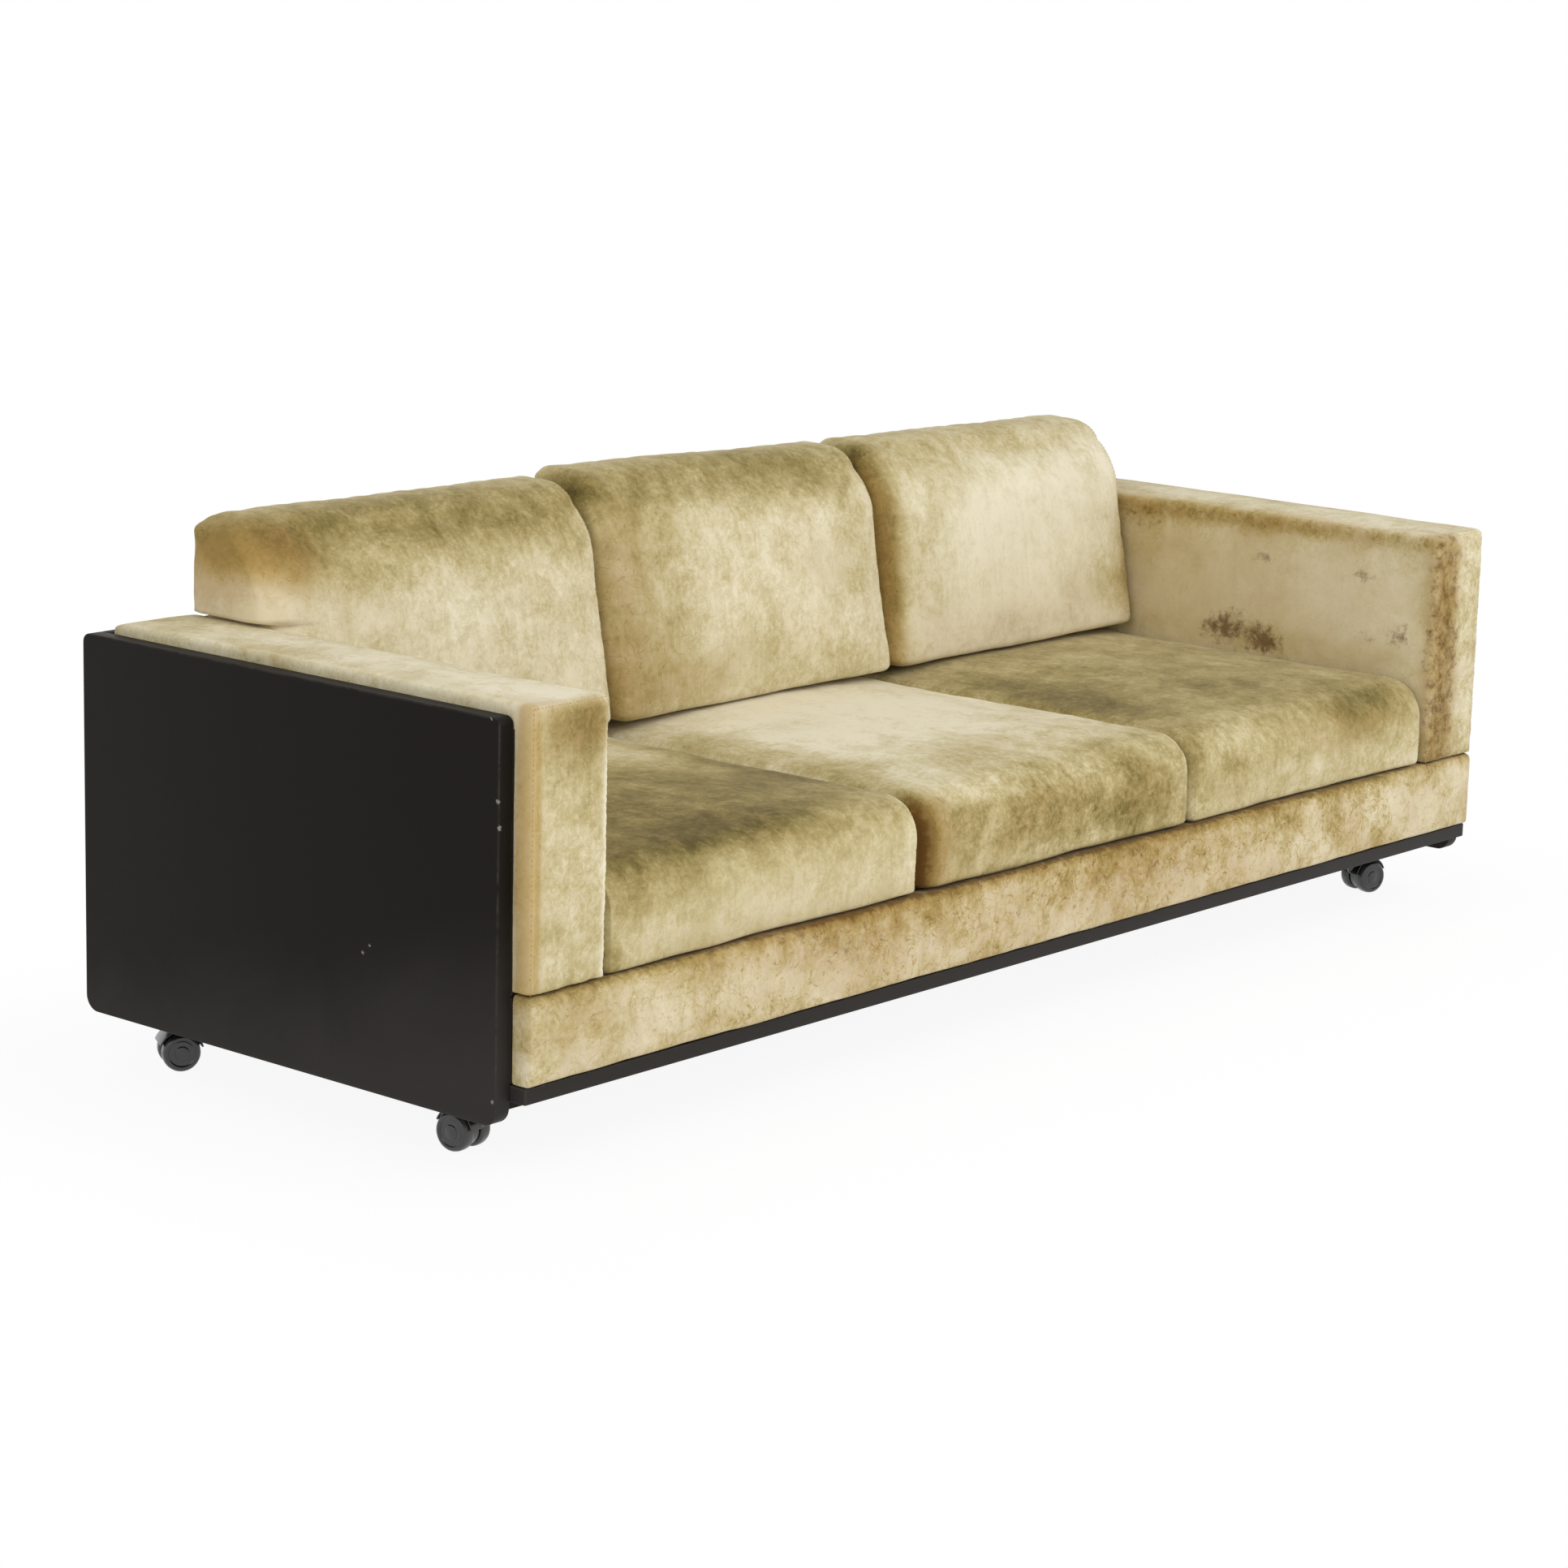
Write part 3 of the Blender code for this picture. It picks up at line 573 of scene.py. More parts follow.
RAIL_MARKS = {
    "tan": [
        (-490, -400, 225, 120, 50, 40, 60), (190, -400, 200, 160, 50, 50, 30),
        (0, -400, 190, 1200, 100, 200, 60),
    ],
    "calm": [(0, -400, 190, 1200, 100, 200, -150), (450, -400, 190, 600, 100, 200, -80)],
    "gilt": [(0, -400, 190, 1300, 100, 200, 26)],
    # the last stain stroke, along the top edge, is painted shade in the crease under the seat cushions
    "stain": [
        (0, -400, 200, 1300, 100, 50, 26), (-490, -400, 225, 100, 50, 30, 34),
        (190, -400, 210, 120, 50, 30, 28), (0, -400, 245, 1300, 100, 5, 120),
    ],
}


def net_line(half, margins, span):
    """Places from -1 to 1 along one axis: close together round its two edges, span apart between them."""
    low, high = margins[0] / half, margins[1] / half
    turns = [max(2, round(EIGHTH_TURN * margin / (EDGE_SPAN * span))) for margin in margins]
    start = [-1 + low * (1 - math.tan(math.pi / 4 * (1 - i / turns[0]))) for i in range(turns[0])]
    stop = [1 - high * (1 - math.tan(math.pi / 4 * i / turns[1])) for i in range(1, turns[1] + 1)]
    first, last = -1 + low, 1 - high
    count = max(1, round((last - first) * half / span))
    return [*start, *np.linspace(first, last, count + 1), *stop]


def net_place(axis, level, i, j):
    """The place in a net at a level of one axis, i and j steps along the next two."""
    place = [0, 0, 0]
    place[axis], place[axis - 2], place[axis - 1] = level, i, j
    return tuple(place)


def net_of(lines):
    """The outside of a net of lines along three axes: each place's number, where it is, and the quads."""
    number, places, faces = {}, [], []
    for axis in range(3):
        counts = [len(lines[axis - 2]) - 1, len(lines[axis - 1]) - 1]
        for end in (0, len(lines[axis]) - 1):
            for i, j in itertools.product(*map(range, counts)):
                loop = []
                for di, dj in ((0, 0), (1, 0), (1, 1), (0, 1)):
                    place = net_place(axis, end, i + di, j + dj)
                    if place not in number:
                        number[place] = len(places)
                        places.append([lines[n][place[n]] for n in range(3)])
                    loop.append(number[place])
                faces.append(loop if end else loop[::-1])
    return number, np.array(places), faces


def padded_block(name, low, high, rounding, swell, span,
                 pinch=0.0, sag=0.0, lean=(0.0, 0.0), tilt=0.0, roll=0.0):
    """A padded block on a regular net of quads, and the number of its point at each place of the net.

    rounding and swell hold a pair for each axis, for its low and high face. span is the net's spacing.
    pinch draws the sides in between the corners, sag keeps a share of the front's swell at the foot,
    lean slopes the front and rear face back, tilt raises the left end of the top over the right, and
    roll is the radius that the top turns over into the front with.
    """
    low, high = np.array(low), np.array(high)
    centre, half = (low + high) / 2, (high - low) / 2
    lines = [net_line(half[axis], rounding[axis], span) for axis in range(3)]
    number, t, faces = net_of(lines)
    lows, highs = np.array(rounding).T
    margin = np.where(t > 0, highs, lows)
    core = np.clip(t * half, lows - half, half - highs)
    out = (t * half - core) / margin
    out /= np.maximum(np.linalg.norm(out, axis=1, keepdims=True), 1e-9)
    point = core + out * margin
    if roll:
        over = np.stack([roll - half[1] - point[:, 1], roll - half[2] + point[:, 2]], axis=1)
        turned = (over > 0).all(axis=1)
        facing = np.linalg.norm(out[:, 1:], axis=1)
        reach = roll - (lows[1] + highs[2]) / 2 * (1 - facing)
        reach = np.where(facing > 1e-6, reach, over.max(axis=1))
        bend = over[turned] * (reach[turned] / np.linalg.norm(over[turned], axis=1))[:, None]
        point[turned, 1] = roll - half[1] - bend[:, 0]
        point[turned, 2] = bend[:, 1] - roll + half[2]
    flat = 1 - t ** 2
    for axis in range(3):
        up = (t[:, axis] + 1) / 2
        stand = flat[:, axis - 2] * flat[:, axis - 1]
        front = stand
        if axis == 1:
            front = np.where(t[:, 2] < 0, flat[:, 0] * (1 - (1 - sag) * t[:, 2] ** 2), stand)
        point[:, axis] += up * stand * swell[axis][1] - (1 - up) * front * swell[axis][0]
    point[:, 0] -= t[:, 0] * pinch * flat[:, 1] * t[:, 2] ** 2
    point[:, 1] -= t[:, 1] * pinch * flat[:, 0] * t[:, 2] ** 2
    back = (t[:, 1] + 1) / 2
    point[:, 1] += (point[:, 2] + half[2]) * (lean[0] * (1 - back) + lean[1] * back)
    point[:, 2] -= tilt * t[:, 0] * np.clip((t[:, 2] + 1) / 2, 0, 1)
    mesh = bpy.data.meshes.new(name)
    mesh.from_pydata((point + centre).tolist(), [], faces)
    return placed(name, mesh), number, [len(line) - 1 for line in lines]


def per_point(piece, what="co"):
    """Where each of the piece's points is or, with "normal", the way it faces."""
    flat = np.empty(len(piece.data.vertices) * 3)
    piece.data.vertices.foreach_get(what, flat)
    return flat.reshape(-1, 3)


def move_points(piece, points):
    piece.data.vertices.foreach_set("co", points.ravel())
    piece.data.update()


def as_made(piece):
    """The piece's mesh with its modifiers carried out."""
    return bpy.data.meshes.new_from_object(piece.evaluated_get(bpy.context.evaluated_depsgraph_get()))


def stuff(piece, sewn, puff):
    """Blows the cover up as cloth held along its sewn points, then keeps puff as its furthest move."""
    group = piece.vertex_groups.new(name="sewn")
    group.add(sorted(sewn), 1.0, "REPLACE")
    before = per_point(piece)
    cloth = piece.modifiers.new("stuffing", "CLOTH")
    settings = cloth.settings
    settings.quality, settings.mass = 4, 0.25
    settings.tension_stiffness = settings.compression_stiffness = 14
    settings.shear_stiffness, settings.bending_stiffness = 5, 0.6
    settings.use_pressure, settings.uniform_pressure_force = True, 4
    settings.effector_weights.gravity = 0
    settings.shrink_min = -0.012
    settings.vertex_group_mass = "sewn"
    cloth.collision_settings.use_collision = False
    for number in range(1, CLOTH_STEPS + 1):
        bpy.context.scene.frame_set(number)
    stuffed = piece.evaluated_get(bpy.context.evaluated_depsgraph_get()).to_mesh()
    after = np.empty(len(before) * 3)
    stuffed.vertices.foreach_get("co", after)
    piece.modifiers.remove(cloth)
    bpy.context.scene.frame_set(1)
    moved = after.reshape(-1, 3) - before
    size = np.maximum(np.linalg.norm(moved, axis=1, keepdims=True), 1e-9)
    scale = puff / max(np.percentile(size, 97), 1e-6)
    moved = moved / size * puff * np.tanh(size * scale / puff)
    move_points(piece, before + moved)


def finer(piece):
    """One round of subdivision, made part of the mesh. The net's own points keep their numbers."""
    smooth = piece.modifiers.new("smooth", "SUBSURF")
    smooth.levels = smooth.render_levels = 1
    mesh = as_made(piece)
    piece.modifiers.clear()
    old, piece.data = piece.data, mesh
    bpy.data.meshes.remove(old)
    mesh.name = piece.name
    piece.vertex_groups.clear()
    mesh.shade_smooth()


def settle(piece, seams, room, dents, seed):
    """Softens the stuffed form: shallow dents all over, puckers and a ditch along the seams. room is the
    space that it stays in, as its lowest and highest corner. Returns how near each point is to a seam."""
    points = per_point(piece)
    near, pucker = np.zeros(len(points)), np.zeros(len(points))
    if len(seams):
        tree = kdtree.KDTree(len(seams))
        for index, number in enumerate(seams):
            tree.insert(points[number], index)
        tree.balance()
        away = np.array([tree.find(p)[2] for p in points])
        near = np.exp(-(away / DITCH_WIDE) ** 2)
        pucker = np.exp(-away / PUCKER_WIDE)
    shift = Vector((seed, 2 * seed, 3 * seed))
    broad, small, ripple = (np.array([noise.noise(Vector(p) * scale + shift) for p in points])
                            for scale in (5.5, 13, 55))
    lift = dents * (broad + 0.5 * small - 0.35) + PUCKER_DEEP * pucker * ripple - DITCH_DEEP * near
    points = points + per_point(piece, "normal") * lift[:, None]
    move_points(piece, np.clip(points, *map(np.array, room)))
    return near


def brush(piece, base, strokes, near=None, rubbed=0.0, **marks):
    """Lays the velvet's pile, with painted light and shade. base is how pale the velvet is all over. A
    stroke is a place and its reach along X, Y and Z, in millimetres, then how much paler (above 0) or
    darker it makes the velvet, in hundredths: the pile's own pale and dark patches, painted shade in
    creases, recesses and beside other cushions, and painted light on faces the lamps leave dim. Seams are
    made paler, as wear and as a painted highlight. marks are more strokes, for where the velvet is tan,
    gilt, calm, or stained in specks, the stain also painted into creases and recesses as shade."""
    points = per_point(piece)
    for name, kind, start in [("nap", strokes, base), *((name, kind, 0.0) for name, kind in marks.items())]:
        laid = np.full(len(points), start)
        for *stroke, change in kind:
            place, reach = np.array(stroke).reshape(2, 3) / 1000
            away = np.linalg.norm((points - place) / reach, axis=1)
            laid += change / 100 / (1 + away ** 4)
        if name == "nap" and near is not None:
            laid += rubbed * near
        piece.data.attributes.new(name, "FLOAT", "POINT").data.foreach_set("value", laid.astype(np.float32))


def velvet_finish():
    finish = Finish("gold_velvet", {"Specular IOR Level": 0.10, "Sheen Weight": 0.34, "Sheen Roughness": 0.32,
                                    "Sheen Tint": tone("efe7cf")})
    worn, crushed = finish.cloud(7.5, 4, 0.6, 0.5), finish.cloud(30, 5, 0.7, 0.35)
    flecks, tufts = finish.cloud(125, 4, 0.7, 0.4), finish.cloud(900, 2, 0.6)
    combed = finish.cloud(1.0, 3, 0.6, 0.3, (110, 10, 10))
    stirred = 0.60 * (worn - 0.5) + 0.64 * (crushed - 0.5) + 0.52 * (flecks - 0.5)
    folds = finish.math("ABSOLUTE", finish.cloud(26, 3, 0.55, 1.2) - 0.5)
    veins = (1 - finish.step(folds, 0.0, 0.024)) * finish.step(flecks, 0.42, 0.60)
    stirred = stirred - (0.13 + 0.20 * finish.step(finish.laid("tan"), 0.1, 1.0)) * veins
    # the pale and dark value read here holds the pile's own patches together with painted light and shade
    pale = finish.laid("nap") + (1 - 0.62 * finish.laid("calm")) * stirred
    pale = pale + 0.14 * (combed - 0.5) + 0.12 * (tufts - 0.5)
    colour = finish.ramp(pale, (0.02, tone("5d5029")), (0.24, tone("857645")), (0.42, tone("a59462")),
                         (0.60, tone("c1b285")), (0.78, tone("d8cdab")), (0.96, tone("eae1c7")))
    rubbed = 0.5 * finish.cloud(11, 4, 0.65, 0.6) + 0.3 * crushed + 0.3 * flecks
    tan = finish.step(rubbed + 0.34 * finish.laid("tan"), 0.56, 0.90)
    colour = finish.mix(0.50 * tan, colour, tone("9f7c45"))
    colour = finish.mix(0.60 * finish.laid("gilt"), colour, tone("c9a860"))
    # the stain colour marks real specks and is also painted into creases and recesses as shade
    blots = finish.cloud(62, 5, 0.70, 0.25)
    spots = finish.step(0.55 * finish.laid("stain") + 1.9 * (blots - 0.5) + 0.7 * (flecks - 0.5), 0.20, 0.90)
    colour = finish.mix(0.80 * spots * finish.step(finish.laid("stain"), 0.06, 0.25), colour, tone("5e3c12"))
    pile = finish.bump(tufts, 0.0009, 0.5)
    crushing = finish.bump(crushed + 0.5 * combed, 0.0018, 0.35, pile)
    return finish.shows(colour, 0.80 + 0.14 * crushed, crushing)


velvet = velvet_finish()


def upholster(piece, node, body):
    piece.data.materials.append(velvet)
    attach(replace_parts(piece, node), body)
    return piece


low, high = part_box("front_rail_cover")
cover, place, ends = padded_block(
    "rail_cover", (low.x, low.y + RAIL_FRONT_IN, low.z), high, span=0.009,
    rounding=((0.004, 0.004), (0.010, 0.003), (0.006, 0.012)), swell=((0, 0), (0.001, 0), (0, 0)))
stuff(cover, {n for key, n in place.items() if key[1] == ends[1]}, puff=0.003)
finer(cover)
settle(cover, [], (low, high), dents=0.0012, seed=3.0)
brush(cover, base=0.66, strokes=RAIL_NAP_AND_SHADING, **RAIL_MARKS)
upholster(cover, "front_rail_cover", "sofa")


# Arms: a padded velvet box slipped over each arm's posts and top rail. Its front is a separate panel
# sewn all round its edge; the top is crowned and the rear end rounds down to the back of the case.
ARM_INSET = {"left": (0.0, 0.0025), "right": (0.004, 0.0)}
ARM_FRONT_IN, ARM_TOP_IN = 0.003, 0.006
ARM_EDGES = {"left": (0.006, 0.007), "right": (0.007, 0.006)}
POCKET_GAP, POCKET_OUT, POCKET_BACK = 0.0003, 0.02, 0.6
STITCH_PITCH, STITCH_LENGTH, STITCH_THICK, STITCH_LIFT = 0.0062, 0.0044, 0.0008, 0.0002
# Strokes hold the pile's own patches and painted light and shade: painted shade along each arm's foot on the
# rail cover, under the right arm's inner top edge and in the left arm's outer seam, and a painted highlight
# down the left arm's inner front edge.
ARM_NAP_AND_SHADING = {
    "left": [
        (-985, -400, 580, 70, 12, 42, -40), (-1000, -150, 612, 70, 400, 20, 25),
        (-985, -370, 613, 70, 70, 8, 22), (-940, -400, 400, 9, 20, 300, 36),
        (-1060, -100, 595, 16, 80, 14, -8), (-1060, 120, 595, 16, 60, 14, -8),
        (-1074, 0, 600, 14, 500, 16, 14), (-1010, -400, 242, 100, 30, 8, -24),
        (-1074.7, -371, 420, 10, 10, 300, 12), (-1000, -400, 380, 100, 20, 150, 6),
        (-1074.7, -391, 420, 12, 8, 300, 20), (-1066, -400, 420, 4, 10, 300, -16),
    ],
    "right": [
        (936, -80, 400, 20, 60, 30, -8), (936, 50, 592, 20, 500, 15, -36),
        (936, -270, 490, 20, 120, 120, 12), (936, 50, 460, 20, 500, 300, 20),
        (936, 170, 540, 20, 90, 50, -12), (936, 0, 395, 20, 500, 25, -8),
        (964, -400, 420, 30, 20, 300, -14), (1030, -400, 420, 50, 30, 300, 8),
        (1000, -100, 613, 80, 500, 10, 26), (1010, -400, 242, 100, 30, 12, -30),
    ],
}
ARM_MARKS = {
    "left": {
        # the left arm's outer band is tan and gilt, partly its own colour and partly painted shade on that
        # side face
        "tan": [
            (-1074.7, -388, 420, 12, 16, 300, 190), (-1050, 0, 600, 30, 500, 20, 20),
            (-985, -400, 580, 70, 20, 50, 40),
        ],
        "gilt": [(-1074.7, -388, 420, 12, 16, 300, 90)],
    },
    "right": {
        "calm": [
            (936, 0, 450, 30, 460, 110, 70), (936, 50, 592, 20, 500, 20, -130),
            (1020, -400, 400, 60, 20, 300, -70),
        ],
        "tan": [
            (966, -400, 420, 40, 20, 300, 110), (936, 0, 460, 30, 460, 300, 20),
            (936, 50, 592, 20, 500, 20, 50),
        ],
        "gilt": [(936, 0, 460, 30, 420, 300, 42)],
        "stain": [
            (936, 22, 405, 20, 20, 20, 90), (936, -20, 415, 20, 28, 26, 120),
            (936, -85, 400, 20, 32, 24, 140), (936, -75, 536, 20, 17, 8, 110),
            (936, -266, 527, 20, 20, 8, 100), (936, -335, 440, 20, 18, 18, 100),
            (936, 160, 570, 20, 60, 16, 60), (936, -270, 430, 20, 16, 16, 60),
            (968, -400, 420, 42, 20, 280, 95), (936, 50, 592, 20, 500, 14, 30),
        ],
    },
}


def thread_finish():
    finish = Finish("velvet_thread", {"Specular IOR Level": 0.3})
    twist = finish.cloud(700, 2)
    colour = finish.mix(twist, tone("8d7b4c"), tone("b8a678"))
    return finish.shows(colour, 0.7 + 0.1 * twist, finish.bump(twist, 0.0003, 0.5))


def stitch_tree():
    """Lays stitches along a line: Pitch apart, each a small capsule Length long and Thickness thick."""
    tree = bpy.data.node_groups.new("stitches", "GeometryNodeTree")
    tree.interface.new_socket("Line", in_out="INPUT", socket_type="NodeSocketGeometry")
    for label in ("Pitch", "Length", "Thickness"):
        tree.interface.new_socket(label, in_out="INPUT", socket_type="NodeSocketFloat")
    tree.interface.new_socket("Thread", in_out="INPUT", socket_type="NodeSocketMaterial")
    tree.interface.new_socket("Stitches", in_out="OUTPUT", socket_type="NodeSocketGeometry")
    kinds = {
        "in": "NodeGroupInput", "out": "NodeGroupOutput", "curve": "GeometryNodeMeshToCurve",
        "even": "GeometryNodeResampleCurve", "tangent": "GeometryNodeInputTangent",
        "turn": "FunctionNodeAlignRotationToVector", "bead": "GeometryNodeMeshUVSphere",
        "size": "ShaderNodeCombineXYZ", "lay": "GeometryNodeInstanceOnPoints",
        "real": "GeometryNodeRealizeInstances", "thread": "GeometryNodeSetMaterial",
    }
    nodes = {key: tree.nodes.new(kind) for key, kind in kinds.items()}
    nodes["even"].mode = "LENGTH"
    nodes["turn"].axis = "X"
    for socket, value in (("Segments", 6), ("Rings", 4), ("Radius", 0.5)):
        nodes["bead"].inputs[socket].default_value = value
    for a, out, b, into in (
            ("in", "Line", "curve", "Mesh"), ("curve", "Curve", "even", "Curve"),
            ("in", "Pitch", "even", "Length"), ("even", "Curve", "lay", "Points"),
            ("bead", "Mesh", "lay", "Instance"),
            ("tangent", "Tangent", "turn", "Vector"), ("turn", "Rotation", "lay", "Rotation"),
            ("in", "Length", "size", "X"), ("in", "Thickness", "size", "Y"), ("in", "Thickness", "size", "Z"),
            ("size", "Vector", "lay", "Scale"), ("lay", "Instances", "real", "Geometry"),
            ("real", "Geometry", "thread", "Geometry"), ("in", "Thread", "thread", "Material"),
            ("thread", "Geometry", "out", "Stitches")):
        tree.links.new(nodes[a].outputs[out], nodes[b].inputs[into])
    return tree


stitches, thread = stitch_tree(), thread_finish()


def sew(name, piece, lines, body, thickness=STITCH_THICK):
    """Stitches along lines of the piece's points, as a piece of their own on the same body."""
    points = per_point(piece) + per_point(piece, "normal") * STITCH_LIFT
    verts, edges = [], []
    for line in lines:
        edges += [(len(verts) + i, len(verts) + i + 1) for i in range(len(line) - 1)]
        verts += [points[n].tolist() for n in line]
    mesh = bpy.data.meshes.new(name)
    mesh.from_pydata(verts, edges, [])
    guide = placed(f"{name}_line", mesh)
    laid = guide.modifiers.new("stitches", "NODES")
    laid.node_group = stitches
    values = {"Pitch": STITCH_PITCH, "Length": STITCH_LENGTH, "Thickness": thickness, "Thread": thread}
    for item in stitches.interface.items_tree:
        if item.item_type == "SOCKET" and item.in_out == "INPUT" and item.name in values:
            laid[item.identifier] = values[item.name]
    done = as_made(guide)
    done.name = name
    bpy.data.objects.remove(guide)
    done.shade_smooth()
    sewn = placed(name, done)
    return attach(sewn, body)


def ring(place, ends, axis, level):
    """The net's points all round the block at one level of an axis, in order."""
    last_i, last_j = ends[axis - 2], ends[axis - 1]
    walk = [(i, 0) for i in range(last_i)] + [(last_i, j) for j in range(last_j)]
    walk += [(i, last_j) for i in range(last_i, 0, -1)] + [(0, j) for j in range(last_j, -1, -1)]
    return [place[net_place(axis, level, i, j)] for i, j in walk]


def arm_pocket(side, sign):
    """The space that the arm's posts and top rail take up, open to the outside, the rear and below."""
    low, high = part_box(f"arm_top_rail_{side}")
    first = [low.x - POCKET_GAP, low.y - POCKET_GAP, 0.0]
    last = [high.x + POCKET_GAP, POCKET_BACK, high.z + POCKET_GAP]
    outer = first if sign < 0 else last
    outer[0] += sign * POCKET_OUT
    bm = bmesh.new()
    bmesh.ops.create_cube(bm, size=1.0)
    for vert in bm.verts:
        vert.co = [last[n] if vert.co[n] > 0 else first[n] for n in range(3)]
    bmesh.ops.recalc_face_normals(bm, faces=bm.faces)
    return placed(f"arm_pocket_{side}", mesh_of(f"arm_pocket_{side}", bm))


for side, sign in (("left", -1), ("right", 1)):
    low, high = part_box(f"arm_pad_{side}")
    inset = ARM_INSET[side]
    arm, place, ends = padded_block(
        f"arm_{side}", (low.x + inset[0], low.y + ARM_FRONT_IN, low.z),
        (high.x - inset[1], high.y, high.z - ARM_TOP_IN), span=0.010,
        rounding=(ARM_EDGES[side], (0.007, 0.045), (0.004, 0.011)),
        swell=((inset[0] / 2, inset[1] / 2), (0.001, 0), (0, 0.003)))
    hidden = 0 if sign < 0 else ends[0]
    front_seam = ring(place, ends, 1, 0)
    inside = {n for key, n in place.items() if key[0] == hidden or key[2] == 0}
    stuff(arm, inside.union(front_seam), puff=0.005)
    finer(arm)
    near = settle(arm, sorted(set(front_seam)), (low, high), dents=0.0016, seed=7.0 * sign)
    brush(arm, base=0.62, strokes=ARM_NAP_AND_SHADING[side], near=near, rubbed=0.08, **ARM_MARKS[side])
    pocket = arm_pocket(side, sign)
    cut = arm.modifiers.new("pocket", "BOOLEAN")
    cut.object, cut.operation, cut.solver = pocket, "DIFFERENCE", "EXACT"
    hollow = as_made(arm)
    sew(f"arm_front_stitches_{side}", arm, [front_seam], "sofa", thickness=0.0010)
    arm.modifiers.clear()
    arm.data = hollow
    bpy.data.objects.remove(pocket)
    upholster(arm, f"arm_pad_{side}", "sofa")


# Back lining: velvet over thin wadding, glued to the inside of the back board between the arms. Only
# its top edge shows behind the back cushions until one of them is lifted out.
low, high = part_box("back_lining")
lining, *_ = padded_block(
    "back_lining_pad", low, high, span=0.014,
    rounding=((0.004, 0.004), (0.004, 0.002), (0.004, 0.005)), swell=((0, 0), (0, 0), (0, 0)))
finer(lining)
settle(lining, [], (low, high), dents=0.0006, seed=11.0)
brush(lining, base=0.52, strokes=[])
upholster(lining, "back_lining", "sofa")


# Seat cushions: loose feather-wrapped foam in velvet covers. One long panel wraps the top, front and
# foot, sewn at each end to a boxed side, so the ends are crisp and the front rolls over softly. The
# middle one's left front corner is drawn back. Painted shade darkens each foot where it meets the rail
# cover, the tops beside a neighbour, and the recess at the middle one's corner, painted dark brown.
SEATS = ("left", "middle", "right")
CUSHION_SPAN, CUSHION_PINCH = 0.0105, 0.003
SEAT_THICK, SEAT_ROLL = 0.134, 0.056
SEAT_SIDE_IN, SEAT_FRONT_IN, SEAT_ROOM_ABOVE = 0.003, 0.0075, 0.004
CORNER_WIDE, CORNER_BACK = 0.045, 0.030
CORNER_FROM, CORNER_EASE = -0.33, 0.06
SEAT_ENDS = {"left": (0.008, 0.011), "middle": (0.026, 0.011), "right": (0.012, 0.012)}
# Strokes hold the pile's own patches and painted shade beside a neighbouring cushion's edge, at the left
# seat's end by the arm, and in the middle seat's corner recess.
SEAT_NAP_AND_SHADING = {
    "left": [
        (-820, -360, 385, 130, 55, 30, -26), (-620, -330, 390, 160, 60, 28, -30),
        (-660, -140, 390, 300, 200, 50, -40), (-360, -220, 390, 100, 120, 50, -12),
        (-420, 120, 390, 180, 160, 50, 14), (-560, -410, 290, 280, 30, 50, 5),
        (-850, -400, 335, 80, 40, 22, -10), (-925, -400, 260, 20, 50, 25, -26),
        (-330, -400, 320, 15, 40, 60, 12), (-335, -70, 390, 40, 200, 40, -30),
    ],
    "middle": [
        (0, 40, 390, 340, 280, 50, 32), (-240, -340, 385, 70, 90, 30, 12),
        (100, -400, 330, 240, 30, 60, -16), (-200, -400, 310, 100, 30, 45, -16),
        (220, -370, 378, 120, 70, 25, -10), (-80, -270, 390, 100, 50, 30, -10),
        (60, -410, 343, 140, 40, 35, -11), (-275, -30, 390, 55, 260, 40, -28),
        (160, -410, 285, 140, 40, 30, -18), (200, -410, 320, 80, 40, 40, -12),
        (50, -360, 385, 100, 40, 20, -14), (-300, -390, 310, 20, 60, 80, -85),
        (-306, -265, 388, 10, 22, 20, -45),
    ],
    "right": [
        (560, -80, 390, 300, 320, 40, -32), (360, -140, 390, 60, 220, 40, -24),
        (780, -385, 365, 100, 40, 28, -22), (880, 0, 390, 60, 340, 40, -10),
        (550, -410, 290, 240, 30, 60, 3), (325, -390, 350, 22, 50, 50, -24),
        (420, -410, 305, 70, 40, 45, -20), (540, -410, 325, 60, 40, 40, -12),
        (760, -400, 350, 100, 40, 40, -16), (800, -330, 385, 120, 60, 30, -10),
        (325, -100, 390, 20, 200, 30, 8), (640, -30, 390, 140, 140, 40, 9),
    ],
}
# the middle seat's first tan stroke browns the painted shade in its corner recess
SEAT_TAN = {
    "left": [(-620, -400, 260, 400, 40, 20, 20)],
    "middle": [(-295, -390, 310, 40, 50, 70, 110), (0, -400, 310, 300, 30, 60, 25)],
    "right": [(700, -400, 340, 160, 50, 50, 35), (420, -400, 290, 120, 50, 50, 25)],
}
SEAT_CALM = [(-550, -400, 290, 380, 40, 60, 50), (0, -400, 320, 240, 40, 70, -90)]
# painted shade: the middle seat's corner recess and the top of its seam there are painted dark brown
SEAT_RECESS_SHADE = [(-304, -390, 300, 14, 60, 70, 240), (-308, -265, 388, 8, 22, 20, 120)]
